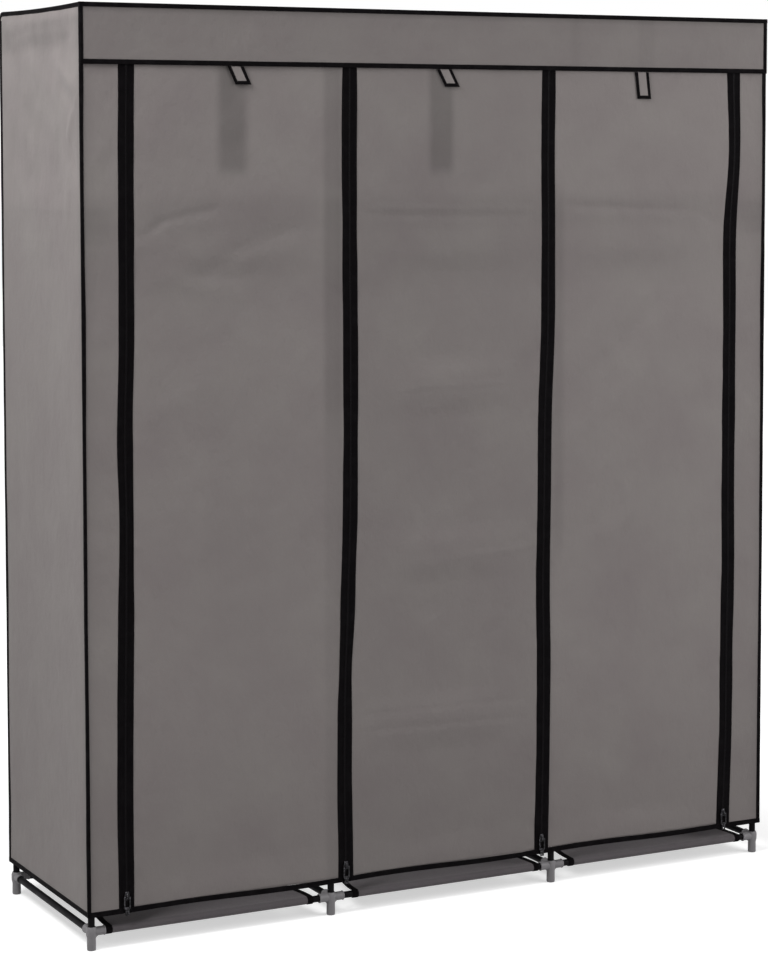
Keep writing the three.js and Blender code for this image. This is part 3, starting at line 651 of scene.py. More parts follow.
def paint_material(name, base):
    """Powder coating on steel tube: an orange-peel skin with faint drawn scratches, a little
    paler where sockets and hangers have rubbed it."""
    recipe = Recipe(name)
    place = recipe.object_place()
    peel = recipe.noise(place, 850.0, 2.0)
    scuffs = recipe.noise(recipe.stretched(place, (1.0, 1.0, 0.12)), 240.0, 3.0, 0.65)
    rubbed = recipe.ramp(scuffs, (0.6, 0.0), (0.8, 1.0))
    recipe.set(Base_Color=recipe.blend(rubbed * 0.35, base, (0.018, 0.017, 0.019)))
    recipe.set(Roughness=recipe.ramp(recipe.noise(place, 35.0, 3.0), (0.3, 0.48), (0.75, 0.65)))
    recipe.set(Specular_IOR_Level=0.05)
    recipe.bumps((peel, 0.00016, 0.35), (rubbed, 0.00005, 0.4))
    return recipe.material


def plastic_material(name, base):
    """Injection-moulded plastic: a spark-eroded grain, flow clouds, and edges rubbed pale."""
    recipe = Recipe(name)
    place = recipe.object_place()
    flow = recipe.noise(recipe.stretched(place, (1.0, 1.0, 0.4)), 55.0, 4.0, 0.6)
    grain = recipe.noise(place, 1600.0, 2.0)
    scuffs = recipe.ramp(recipe.noise(place, 190.0, 4.0, 0.7), (0.58, 0.0), (0.75, 1.0))
    mottled = recipe.blend(flow, tint(base, 0.84), tint(base, 1.16))
    recipe.set(Base_Color=recipe.blend(scuffs * 0.25, mottled, tint(base, 1.5)))
    recipe.set(Roughness=recipe.ramp(flow, (0.3, 0.46), (0.7, 0.6)), Specular_IOR_Level=0.3)
    recipe.bumps((grain, 0.00012, 0.45), (scuffs, 0.00006, 0.3))
    return recipe.material


def metal_material(name, base):
    """Lacquered die-cast zinc: dark, with bright patches spread by noise, partly polish from
    fingers and partly painted highlights.
    """
    recipe = Recipe(name)
    place = recipe.object_place()
    wear = recipe.ramp(recipe.noise(place, 420.0, 4.0, 0.65), (0.49, 0.0), (0.70, 1.0))
    # Painted highlights as well as polish: the noise lifts the colour to a bright tint in patches
    recipe.set(Base_Color=recipe.blend(wear, tint(base, 0.28), tint(base, 3.4)))
    recipe.set(Metallic=0.85, Roughness=recipe.ramp(wear, (0.0, 0.46), (1.0, 0.28)))
    recipe.bumps((recipe.noise(place, 900.0, 2.0), 0.00008, 0.4))
    return recipe.material


def finishes(cloth, trim, zips, tubes):
    """The wardrobe's materials, by slot or, where a slot has several, by name."""
    return {
        "cover_cloth": cloth_material("cover_cloth", cloth.cover_colour, cloth.shading),
        "shelf_cloth": cloth_material("shelf_cloth", cloth.shelf_colour, cloth.shading),
        "binding": tape_material("binding_tape", trim.colour, 0.0011, 0.35),
        "zip_tape": tape_material("zip_tape", trim.colour, 0.0008, 0.2),
        "thread": thread_material("stitch_thread", tint(trim.colour, 1.8), 900.0),
        "coil": thread_material("coil_nylon", tint(trim.colour, 1.5), 1500.0),
        "tube": paint_material("tube_paint", tubes.paint),
        "connector": plastic_material("socket_plastic", tubes.plastic),
        "zip_metal": metal_material("slider_metal", zips.metal),
    }


# Tubes and sockets


PLUG = 0.009  # from a column's axis to the end of a tube that is plugged into its socket
FOOT_WEB, POST_WEB, TEE_WEB = 0.0075, 0.0055, 0.0045  # sizes of the webs beside the arms
POST_WAIST = 0.0001  # by how much a post's sleeve narrows at its rings, and again to its middle
TEE_HALF = 0.017  # half the length of a tee's sleeve
SPLICE, SPLICE_HALF = 0.7, 0.02  # where the outer posts' two lengths are joined, and by how much


def tube(shop, skin, start, end):
    """A tube from one point to another, its ends eased."""
    start, end = np.array(start, float), np.array(end, float)
    radius, size = shop.tubes.tube / 2, np.linalg.norm(end - start)
    ease = radius * 0.14
    turned(skin, start, (end - start) / size,
           [(radius - ease, 0), (radius, ease), (radius, size - ease), (radius - ease, size)])


def rail(shop, skin, bay, y, z):
    """A tube from one column to the next, plugged into a socket at either end."""
    tube(shop, skin, [shop.columns[bay] + PLUG, y, z], [shop.columns[bay + 1] - PLUG, y, z])


def arm(shop, skin, centre, direction, webs, size):
    """A socket's arm: it swells a little from the hub, ends in a rounded ring, and its mouth is
    sunk round the tube. Webs of a size brace it towards the given ways."""
    r, bore, reach, lip = shop.socket, shop.bore, shop.tubes.reach, shop.tubes.lip
    turned(skin, centre, direction, [
        (r * 0.6, 0.0), (r * 0.96, 0.004), (r * 0.985, reach - lip - 0.0012),
        (r + 0.0001, reach - lip), (r + 0.0007, reach - lip + 0.0007),
        (r + 0.0007, reach - 0.0008), (r + 0.0002, reach), (bore + 0.0003, reach),
        (bore, reach - 0.0004), (bore, reach - 0.0016)])
    for web in webs:
        gusset(shop, skin, centre, direction, web, size)


def sleeve(shop, skin, centre, axis, half, waist=0.0):
    """A sleeve round a tube: straight, or narrowed by the waist twice, with a rounded ring at
    either mouth."""
    r, bore = shop.socket, shop.bore
    end = [(bore, half - 0.0012), (bore + 0.0004, half), (r - 0.0003, half),
           (r + 0.0005, half - 0.0007), (r + 0.0005, half - 0.002), (r - waist, half - 0.0027)]
    start = [(radius, -place) for radius, place in end]
    narrow = [(r - 2 * waist, 0.0)] if waist else []
    turned(skin, centre, axis, start + narrow + end[::-1])


def hub(shop, skin, centre):
    """The ball in which a corner's arms meet: a circle's half turned about the upright axis."""
    angle = np.linspace(-math.pi / 2, math.pi / 2, 13)[1:-1]
    turned(skin, centre, Z, shop.socket * joined(np.cos(angle), np.sin(angle)))


def gusset(shop, skin, centre, first, second, size):
    """The thin web in the corner between two arms: a hollow arc between them, with the middle
    of its circle at (radius + size) along both, carried back to the middle of the hub."""
    half, r = 0.0016, shop.socket - 0.0004
    angle = np.linspace(0, math.pi / 2, 9)
    along = r + size - size * np.sin(angle)
    beside = r + size - size * np.cos(angle)
    arc = centre + along[:, None] * first + beside[:, None] * second
    inward = centre + r * 0.4 * (first + second) - arc
    carried(skin, arc, np.cross(first, second), inward,
            [(-half, 0.1), (-half * 0.55, 0.0), (half * 0.55, 0.0), (half, 0.1), (half, 0.7),
             (-half, 0.7)])


def uprights(shop):
    """Every column's row and number, its place on the floor and the way to the other row."""
    for row, depth in (("front", Y), ("back", -Y)):
        for number, x in enumerate(shop.columns):
            yield row, number, np.array([x, shop.rows[row], 0.0]), depth


def ways(number, bays):
    """The directions in which rails leave a column: number counts from 0, bays are the bays that
    have a rail at this level."""
    return [-X] * (number - 1 in bays and number > 0) + [X] * (number in bays and number < 3)


def levels(shop, number):
    """The heights at which a column carries something, with the bays whose rails meet it."""
    inner = [(z, (1,)) for z in shop.middle_levels] if number in (1, 2) else []
    return inner + [(shop.rod, ()), (shop.top_shelf, (0, 1, 2)), (shop.crown, (0, 1, 2))]


class WARDROBE_OT_posts(bpy.types.Operator):
    """Upright tubes and the tubes across the depth, with their collars, arms and hubs"""

    bl_idname = "wardrobe.posts"
    bl_label = "Posts"

    def execute(self, context):
        """The crown is closed by a ball and has its webs beneath alone."""
        shop = workshop()
        for row, number, foot, depth in uprights(shop):
            steel, moulded = Skin(), Skin()
            tube(shop, steel, foot + Z * (shop.tubes.heel + 0.0004), foot + Z * shop.crown)
            for z, bays in levels(shop, number):
                centre, top = foot + Z * z, z == shop.crown
                if top:
                    hub(shop, moulded, centre)
                half = shop.tubes.sleeve / (4 if top else 2)
                sleeve(shop, moulded, centre - Z * half * top, Z, half, POST_WAIST)
                for direction in [*ways(number, bays), depth]:
                    arm(shop, moulded, centre, direction, [-Z] if top else [-Z, Z], POST_WEB)
                if row == "back":
                    tube(shop, steel, centre, [foot[0], shop.rows["front"] + PLUG, z])
            if number in (0, 3):
                sleeve(shop, moulded, foot + Z * SPLICE, Z, SPLICE_HALF, POST_WAIST)
            name = f"post_{row}_{number + 1}"
            piece(f"{name}_tube", steel, "tube", stands_for=[name])
            piece(f"{name}_sockets", moulded, "connector")
        return {"FINISHED"}


class WARDROBE_OT_feet(bpy.types.Operator):
    """Foot connectors: a leg with a flared hub, its arms and the webs between them"""

    bl_idname = "wardrobe.feet"
    bl_label = "Feet"

    def execute(self, context):
        shop = workshop()
        r, bore, base = shop.socket, shop.bore, shop.base
        top = base + r + 0.0012
        leg = [(r - 0.0022, 0), (r - 0.0006, 0.0005), (r, 0.0018), (r - 0.0002, base - 0.012),
               (r + 0.0006, base - 0.009), (r + 0.0014, base - 0.0055), (r + 0.0015, base),
               (r + 0.0014, base + 0.0055), (r + 0.0003, top - 0.0012), (r - 0.0003, top),
               (bore + 0.0003, top), (bore, top - 0.0004), (bore, top - 0.0016)]
        for row, number, foot, depth in uprights(shop):
            moulded = Skin()
            turned(moulded, foot, Z, leg, sides=36)
            for direction in [*ways(number, (0, 1, 2)), depth]:
                arm(shop, moulded, foot + Z * base, direction, [-Z], FOOT_WEB)
            name = f"foot_connector_{row}_{number + 1}"
            piece(f"{name}_moulding", moulded, "connector", stands_for=[name])
        for number, x in enumerate(shop.columns):
            steel = Skin()
            tube(shop, steel, [x, shop.rows["front"] + PLUG, base],
                 [x, shop.rows["back"] - PLUG, base])
            piece(f"base_depth_tube_{number + 1}", steel, "tube")
        return {"FINISHED"}


class WARDROBE_OT_rails(bpy.types.Operator):
    """Top rails and the two hanging rods with their tees"""

    bl_idname = "wardrobe.rails"
    bl_label = "Rails and rods"

    def execute(self, context):
        shop = workshop()
        for bay, name in enumerate(BAYS):
            for row, y in shop.rows.items():
                steel = Skin()
                rail(shop, steel, bay, y, shop.crown)
                piece(f"top_rail_{row}_{name}_tube", steel, "tube",
                      stands_for=[f"top_rail_{row}_{name}"])
        for bay, name in ((0, "left"), (2, "right")):
            steel, moulded = Skin(), Skin()
            rail(shop, steel, bay, 0.0, shop.rod)
            for column, inward in ((bay, X), (bay + 1, -X)):
                end = np.array([shop.columns[column], 0.0, shop.rod])
                sleeve(shop, moulded, end, Y, TEE_HALF)
                arm(shop, moulded, end, inward, [Y, -Y], TEE_WEB)
            piece(f"hanging_rod_{name}_tube", steel, "tube", stands_for=[f"hanging_rod_{name}"])
            piece(f"hanging_rod_{name}_tees", moulded, "connector")
        return {"FINISHED"}


# Tapes


EDGE_STITCH, HEM_STITCH = 0.0013, 0.0016  # from a tape's edge to its stitches


def folded(half, front, back):
    """The section of a folded tape: a flat rounded box, a little fuller in the middle."""
    ease = min(0.0005, half * 0.3)
    return [(-half, -back + ease), (-half, front - ease), (-half + ease, front),
            (0.0, front + 0.00015), (half - ease, front), (half, front - ease),
            (half, -back + ease), (half - ease, -back), (-half + ease, -back)]


def hooked(across, out, wall):
    """The section of a tape folded round a corner: an L with its outer corner rounded. It reaches
    one width across and the other outwards."""
    return [(0.0012, 0.0), (across - 0.0004, 0.0), (across, 0.0004), (across, wall), (wall, wall),
            (wall, out), (0.0004, out), (0.0, out - 0.0004), (0.0, 0.0012), (0.00035, 0.00035)]


class Binding:
    """A tape in the making and the stitches that hold it."""

    def __init__(self):
        self.tape, self.thread = Skin(), Skin()

    def sew(self, path, across, out, profile, *lines):
        """Carries the tape along a path and lays stitches along lines, each a path of its own
        and the way it faces."""
        carried(self.tape, path, across, out, profile)
        for line, facing in lines:
            stitched(self.thread, line, facing)

    def pieces(self, name, stitches=None, slot="binding", body="root", stands_for=()):
        """The tape and its stitches as two pieces of one body."""
        return [piece(name, self.tape, slot, body, stands_for),
                piece(stitches or f"{name}_stitches", self.thread, "binding", body,
                      finish="thread")]


# Shelves


SHELF_BOW = 0.020  # how far a shelf's side edges curve inwards half-way back
SHELF_CLEAR = 0.002  # from a socket's mouth to the end of a shelf's cloth
# How much further than the others each bottom shelf's ends are from their sockets
BOTTOM_SLACK = ((0.0, 0.013), (0.018, 0.004), (0.012, 0.009))


class WARDROBE_OT_shelves(bpy.types.Operator):
    """Cloth shelves sewn round two rails, their bowed sides bound with tape"""

    bl_idname = "wardrobe.shelves"
    bl_label = "Shelves"

    def execute(self, context):
        shop = workshop()
        back, half = shop.rows["back"], shop.trim.shelf / 2
        path, normal = self.section(back, shop.tubes.tube / 2 + 0.0011)
        y, up, gone = path[:, 1], path[:, 2], distances(path)
        curve = np.clip(1 - (y / back) ** 2, 0, 1) ** 2.2
        share = np.linspace(0, 1, 84)
        rows = y[:, None]
        free = np.clip(1 - (rows / (back - 0.01)) ** 2, 0, 1)
        for name in SHELVES:
            end = name.split("_")[2]
            bay = BAYS.index(end) if end in BAYS else 1
            z = shop.levels[name]
            steel = Skin()
            for row in shop.rows.values():
                rail(shop, steel, bay, row, z)
            rails = piece(f"{name}_rails", steel, "tube", stands_for=[name])
            slack = BOTTOM_SLACK[bay] if z == shop.base else (0.0, 0.0)
            left = shop.columns[bay] + shop.tubes.reach + SHELF_CLEAR + slack[0]
            right = shop.columns[bay + 1] - shop.tubes.reach - SHELF_CLEAR - slack[1]
            starts = left + (SHELF_BOW + slack[0]) * curve
            widths = right - (SHELF_BOW + slack[1]) * curve - starts
            across = starts[:, None] + widths[:, None] * share
            sag = -0.0035 * np.sin(math.pi * share) * free
            sag += 0.0007 * cloudy(across, rows, 0.07, 31 + bay) * free
            points = joined(across, rows, z + up[:, None] + sag)
            deck, edging = Skin(), Binding()
            deck.add(points, joined(across, gone[:, None]))
            for side, inward in ((0, X), (-1, -X)):
                edge = points[:, side] + inward * (half - 0.0006)
                seam = edge + inward * (half - 0.0015) + normal * 0.0007
                edging.sew(edge, inward, normal, folded(half, 0.0006, 0.0014),
                           (seam[6:-6], normal[6:-6]))
            made = thicken(piece(f"{name}_cloth", deck, "shelf_cloth"), 0.0009)
            right - left
            float(np.diff(gone) @ (widths[1:] + widths[:-1])) / 2
            edging.pieces(f"{name}_binding", f"{name}_stitches")
        return {"FINISHED"}

    def section(self, reach, wrap):
        """The cloth's section from the front rail's underside, round its front, over the deck and
        round the back rail, with its normals: two arcs about the rails, which lie at the reach to
        either side, and the straight between them."""
        angle = np.linspace(math.radians(-130), math.radians(90), 22)
        front = joined(0, -np.cos(angle), np.sin(angle))
        ends = np.tile(Y * reach, (len(front), 1))
        deck = np.linspace(-reach, reach, 64)[1:-1, None] * Y
        normal = np.concatenate([front, np.tile(Z, (len(deck), 1)), front[::-1] * (1, -1, 1)])
        return np.concatenate([-ends, deck, ends]) + normal * wrap, normal


# The cover's cloth


HALF_WIDTH, HALF_DEPTH = 0.749, 0.2243  # from the middle to the cloth's edges at the corners


def even(low, high, cell):
    """Even places from low to high, about a cell apart."""
    return np.linspace(low, high, max(2, round((high - low) / cell) + 1))


def between(left, right, up, columns):
    """A grid of (across, up, share) between two edges, which may change with the height."""
    share = np.linspace(0, 1, columns)
    left, right = np.broadcast_to(left, up.shape), np.broadcast_to(right, up.shape)
    across = left[:, None] + (right - left)[:, None] * share
    return np.broadcast_arrays(across, up[:, None], share)


def crown_drop(x, y):
    """How far the cover's top edge lies under the roof's plane: the side edges dip by 3 mm
    between their ends, and the two back corners are rounded off over the last 22 mm."""
    t = np.clip((y - 0.203) / 0.022, 0, 0.999)
    rounded = 0.018 * (1 - np.sqrt(1 - t**2.4))
    dip = 0.003 * np.clip(1 - (y / 0.225) ** 2, 0, 1)
    return smooth_step(np.abs(x), 0.715, HALF_WIDTH) * (rounded + dip)


def above_hem(shop, z):
    """Nothing at the bound hem, rising to one a little above it."""
    return smooth_step(z, shop.hem + 0.008, shop.hem + 0.045)


def free_between(z, spans):
    """Nothing where something holds the cloth, which is inside the spans of heights and 12 mm
    beyond, rising to one over the next 52 mm."""
    reach = np.min([np.maximum.reduce([a - 0.012 - z, z - b - 0.012, 0 * z]) for a, b in spans], 0)
    return smooth_step(reach, 0, 0.052)


def with_folds(out, x, z, folds):
    """A relief with a list of folds laid on it."""
    for x0, z0, x1, z1, width, height in folds:
        out = out + height * fold_line(x, z, (x0, z0), (x1, z1), width)
    return out


def box_shadow(value, low, high, soft):
    """One between low and high, falling off softly outside."""
    rising = smooth_step(value, low - soft, low + soft)
    return rising * (1 - smooth_step(value, high - soft, high + soft))


def front_painted_shade(x, z):
    """How much painted shade the front gets: painted shadows of the two inner posts, the straps
    inside the doors and the ends of the top shelves, which show through the cloth, as soft boxes;
    and a little painted shade over the middle bay, the low end, the heights of the top shelves and
    all but the middle of the left door."""
    # Painted shadows of the posts, the straps and the top shelves' ends, seen through the cloth
    posts = 0.75 * box_shadow(x, -0.262, -0.226, 0.008) * (0.45 + 0.55 * smooth_step(z, 0.9, 1.02))
    posts += 0.5 * box_shadow(x, 0.243, 0.266, 0.009) * box_shadow(z, 0.683, 1.389, 0.05)
    straps = box_shadow(z, 1.440, 1.72, 0.018) * (1.2 + 0.2 * cloudy(x, z, 0.035, 160))
    left = straps * box_shadow(x, -0.478, -0.422, 0.013)
    mid = straps * box_shadow(x, -0.034, 0.014, 0.012)
    edges = 0.35 * box_shadow(z, 1.309, 1.376, 0.008) * smooth_step(np.abs(x), 0.66, 0.72)
    # Painted shade over broad areas: the middle bay, the low end, the top shelves' heights and most
    # of the left door
    broad_shade = 0.18 * box_shadow(x, -0.235, 0.243, 0.012) + 0.26 * (1 - smooth_step(z, 0.10, 0.45))
    broad_shade += 0.09 * (1 - box_shadow(x, -0.68, -0.50, 0.06) * box_shadow(z, 0.30, 1.05, 0.2))
    broad_shade += 0.20 * box_shadow(z, 1.330, 1.392, 0.016) + 0.13 * box_shadow(z, 1.22, 1.33, 0.03)
    marks = np.clip(posts + edges, 0, 1) + np.clip(left + mid, 0, 1.3)
    return np.clip(0.75 * marks + broad_shade, 0, 1)


# Folds of the front cloth, as (from x, z, to x, z, width, height) in metres
FRONT_FOLDS = (
    (-0.640, 1.316, -0.585, 1.354, 0.010, -0.0016), (-0.595, 1.350, -0.480, 1.374, 0.009, -0.0015),
    (-0.520, 1.242, -0.430, 1.300, 0.018, -0.0014), (-0.445, 1.294, -0.310, 1.338, 0.016, -0.0013),
    (-0.625, 1.256, -0.415, 1.209, 0.024, 0.0012), (-0.640, 0.980, -0.470, 1.060, 0.030, 0.0008),
    (-0.180, 1.372, 0.205, 1.364, 0.006, 0.0007), (-0.180, 1.357, 0.205, 1.350, 0.008, -0.0009),
    (-0.140, 1.018, 0.150, 1.025, 0.006, 0.0007), (-0.035, 1.020, -0.030, 0.985, 0.030, -0.0010),
    (0.000, 0.682, 0.195, 0.690, 0.006, 0.0008), (-0.040, 0.600, -0.025, 0.570, 0.030, -0.0009),
    (-0.200, 0.356, 0.195, 0.348, 0.006, -0.0009), (-0.200, 0.387, 0.195, 0.384, 0.006, -0.0007),
    (0.265, 1.370, 0.570, 1.357, 0.009, -0.0016), (0.570, 1.356, 0.650, 1.330, 0.010, -0.0012),
    (0.322, 1.018, 0.575, 1.246, 0.020, -0.0014), (0.275, 0.900, 0.478, 1.042, 0.022, 0.0013),
    (0.322, 0.714, 0.405, 0.800, 0.018, -0.0012), (0.345, 0.691, 0.452, 0.755, 0.018, 0.0011),
)


def door_relief(shop, bay, x, z, share):
    """How far a door's cloth stands out of the front's plane. Between its zips it sinks by the
    square of a sine, except where rails hold it out; ripples, folds and the zips' puckers lie on
    that; and near the zips it lies flat, just behind the tape."""
    bands = [(h, h) for h in shop.middle_levels] if bay == 1 else []
    free = free_between(z, [*bands, (0.0, shop.hem + 0.012), (shop.rod - 0.012, 9.0)])
    edges = shop.edges(z)
    beside = np.minimum(x - edges[bay + 1], edges[bay + 2] - x)
    inside = smooth_step(beside, 0.014, 0.06)
    out = -shop.cloth.sink * np.sin(math.pi * share) ** 2 * free
    out += shop.cloth.ripple * (0.75 * cloudy(x, z, 0.19, 3 + bay)
                                + 0.35 * cloudy(x, z * 0.7, 0.07, 7)
                                + 0.12 * cloudy(x, z * 0.8, 0.028, 9))
    out = with_folds(out, x, z, FRONT_FOLDS)
    pucker = bell(beside - 0.021, 0.012) * (cloudy(x * 0.2, z, 0.024, 15) + cloudy(x, z, 0.05, 16))
    out = out * inside + 0.00055 * pucker - 0.0004 * (1 - smooth_step(beside, 0.015, 0.019))
    low = np.where(z > 1.44, -0.0011, np.where(free < 0.3, -0.0022, -0.0062))
    return np.clip(out, low, np.where(z > 1.59, 0.0008, 0.0016))


# Folds of the sides' cloth, as (from y, z, to y, z, width, height) in metres
SIDE_FOLDS = (
    (0.135, 1.676, -0.135, 1.688, 0.014, -0.0022), (0.20, 1.722, -0.19, 1.730, 0.011, 0.0014),
    (0.19, 1.371, -0.19, 1.371, 0.006, 0.0007), (0.19, 1.313, -0.19, 1.313, 0.006, 0.0007),
    (-0.095, 1.642, -0.200, 1.590, 0.011, 0.0026), (-0.105, 1.606, -0.200, 1.556, 0.012, -0.0024),
    (-0.204, 1.580, -0.155, 1.505, 0.010, 0.0025), (-0.165, 1.500, -0.204, 1.430, 0.011, -0.0022),
    (0.050, 1.640, -0.060, 1.600, 0.020, 0.0020), (0.120, 1.520, -0.080, 1.470, 0.024, 0.0018),
    (0.190, 1.712, 0.060, 1.722, 0.010, 0.0020), (-0.060, 1.668, -0.180, 1.690, 0.012, -0.0018),
)


def side_relief(shop, y, z, seed):
    """How far a side's cloth stands out: it sinks by the square of a cosine except where the
    tubes across the depth hold it, and carries ripples, a rough patch and the folds."""
    free = free_between(z, [(0.0, shop.hem + 0.012), (shop.rod, shop.top_shelf),
                            (shop.crown - 0.02, 9.0)])
    inside = smooth_step(0.225 - np.abs(y), 0.03, 0.085) * above_hem(shop, z)
    out = -shop.cloth.sink * np.cos(math.pi * y / 0.45) ** 2 * free
    out += shop.cloth.ripple * (
        0.8 * cloudy(y, z, 0.17, seed) + 0.6 * cloudy(y, z * 0.6, 0.055, seed + 1)
        + 0.25 * cloudy(y, z * 0.7, 0.024, seed + 3) * smooth_step(z, 1.0, 1.5))
    out += 0.0018 * bell(y + 0.15, 0.05) * bell(z - 1.40, 0.075) * cloudy(y, z, 0.024, seed + 2)
    folds = with_folds(0 * y, y, z, SIDE_FOLDS) * smooth_step(0.225 - np.abs(y), 0.008, 0.034)
    return np.clip(out * inside + folds, np.where(free < 0.3, -0.0021, -0.0065), 0.0024)


def draped(name, points, cut, marks=None, thickness=0.0008, body="root", stands_for=()):
    """A panel of the cover's cloth from its points and its own coordinates, with its thickness
    behind it. A door's thin cloth lets the lamps' light through to the shelves."""
    skin = Skin()
    skin.add(joined(*points), joined(*cut), marks)
    made = piece(name, skin, "cover_cloth", body, stands_for)
    made.visible_shadow = not name.startswith("door")
    return thicken(made, thickness)


def lift_with(made, door):
    """Gives a door's cloth, tape or coil a mesh of its own. It reads the door's lift joint and
    height, but does not fold the piece.
    """
    hinge = joint(f"door_{door}_lift")
    travel = hinge["range_m"][1]
    top, low = corners(f"door_{door}")[1][2], corners(f"door_{door}")[0][2] + 0.0015
    1 - travel / (top - low)
    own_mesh(made)


class WARDROBE_OT_cover(bpy.types.Operator):
    """The cover's fixed cloth: sides, back, roof, valance and the strips beside the outer zips"""

    bl_idname = "wardrobe.cover"
    bl_label = "Cover"

    def execute(self, context):
        shop = workshop()
        tall = even(shop.hem + 0.001, shop.roof - 0.0005, shop.cloth.cell)
        self.sides(shop, tall)
        self.back(shop, tall)
        self.roof(shop)
        self.valance(shop)
        self.flanges(shop)
        return {"FINISHED"}

    def panel(self, name, node, points, cut, marks, flat, held, rests_on):
        """A fixed panel, which stands for one node."""
        made = draped(name, points, cut, marks, workshop().cloth.thickness, stands_for=[node])

    def lowered(self, shop, x, y, z):
        """Heights, drawn down near the top to meet the top edge's line."""
        return z - crown_drop(x, y) * smooth_step(z, 1.66, shop.roof)

    def sides(self, shop, tall):
        """Their relief is side_relief. They carry painted shade: darker at the front corner, at the
        levels of the top shelf and the top tube and lower down, with clouds of painted shade near
        the top."""
        for name, sign, post in (("left", -1, 1), ("right", 1, 4)):
            y, z, _ = between(-HALF_DEPTH, HALF_DEPTH, tall, 84)
            y = y[:, ::sign]
            x = sign * (shop.side + side_relief(shop, y, z, 61 + 10 * sign))
            # Painted shade of the front corner, the shelf levels, the crease under the top edge,
            # the lower part and the crumples near the top
            marks = 0.3 * box_shadow(y, -0.224, -0.205, 0.006)
            marks += 0.1 * box_shadow(z, 1.31, 1.38, 0.01)
            marks += 0.09 + 0.22 * (1 - smooth_step(z, 1.15, 1.6))
            patchy_shade = 0.8 + 0.5 * cloudy(y, z, 0.04, 171)
            marks += 0.42 * box_shadow(z, 1.668, 1.728, 0.012) * patchy_shade
            clouds = cloudy(y, z, 0.07, 172) + cloudy(y, z, 0.03, 173)
            marks += 0.14 * box_shadow(z, 1.50, 1.60, 0.02)
            marks += 0.14 * smooth_step(z, 1.3, 1.5) * clouds
            self.panel(f"cover_side_{name}", f"cover_{name}_side",
                       (x, y, self.lowered(shop, x, y, z)), (y, z), np.clip(marks, 0, 1),
                       (0.45, shop.roof - shop.hem), "hung", [f"post_front_{post}_tube"])

    def back(self, shop, tall):
        """It sinks and rises as a cosine every half metre, with clouds of ripples, and is flat
        at its edges."""
        x, z, _ = between(0.7483, -0.7483, tall, 124)
        inside = smooth_step(0.75 - np.abs(x), 0.03, 0.09) * above_hem(shop, z)
        out = shop.cloth.ripple * 0.9 * cloudy(x, z, 0.21, 91)
        out += 0.0004 * cloudy(x, z * 0.8, 0.06, 92)
        out += -0.0011 * np.cos(2 * math.pi * (x + 0.12) / 0.5) - 0.0006
        y = shop.back + np.clip(out * inside, -0.0022, 0.001)
        self.panel("cover_back_panel", "cover_back", (x, y, self.lowered(shop, x, y, z)), (x, z),
                   None, (1.5, shop.roof - shop.hem), "hung",
                   ["post_back_1_tube", "post_back_4_tube"])

    def roof(self, shop):
        """It sinks by 4 mm between the columns and away from the rails, with clouds of ripples
        there, and follows the top edges' line."""
        y = np.concatenate([even(shop.valance + 0.0005, 0.2, 0.0058),
                            even(0.2016, HALF_DEPTH, 0.0016)])
        x, y, _ = between(-HALF_WIDTH, HALF_WIDTH, y, 250)
        nearest = np.min([np.abs(x - column) for column in shop.columns], 0)
        free = smooth_step(nearest, 0.02, 0.09) * smooth_step(0.2 - np.abs(y), 0.0, 0.06)
        held = smooth_step(nearest, 0.008, 0.03) * smooth_step(0.215 - np.abs(y), 0.0, 0.02)
        out = -0.0042 * free + shop.cloth.ripple * held * (0.6 * cloudy(x, y, 0.13, 95) - 0.4)
        z = shop.roof + np.clip(out, -0.006, 0.0008) - crown_drop(x, y)
        self.panel("cover_roof", "cover_top", (x, y, z), (x, y), None, (1.5, 0.4515), "stretched",
                   ["top_rail_front_left_tube", "top_rail_back_left_tube"])

    def valance(self, shop):
        """It waves as a sine every 0.42 m, more towards its hem. It is painted darker all over,
        with more painted shade in the crease under the top binding and painted shadows of parts
        behind it at two places on its right."""
        tall = even(shop.valance_hem + 0.001, shop.roof - 0.0005, 0.0045)
        x, z, _ = between(-0.7488, 0.7488, tall, 260)
        inside = smooth_step(HALF_WIDTH - np.abs(x), 0.01, 0.06) * smooth_step(1.745 - z, 0.0, 0.02)
        out = 0.0007 * cloudy(x, z, 0.11, 97) + 0.0004 * cloudy(x, z * 0.5, 0.035, 98)
        out += 0.0008 * np.sin(2 * math.pi * (x + 0.1) / 0.42) * smooth_step(1.72 - z, 0.0, 0.07)
        rise = smooth_step(z, shop.valance_hem + 0.009, shop.valance_hem + 0.03)
        y = shop.valance - np.clip(out * inside, -0.0004, 0.0006 + 0.001 * rise)
        # Painted shade: darker all over, in the crease under the top binding, and two painted
        # shadows of parts behind it
        marks = 0.46 + 0.12 * smooth_step(z, 1.700, 1.735) + 0.5 * smooth_step(z, 1.731, 1.739)
        marks += 0.16 * box_shadow(x, 0.280, 0.300, 0.01)
        marks += 0.13 * box_shadow(x, 0.437, 0.476, 0.006)
        self.panel("cover_valance_cloth", "cover_valance", (x, y, z), (x, z), marks,
                   (1.5, 0.112), "hung", ["cover_roof"])

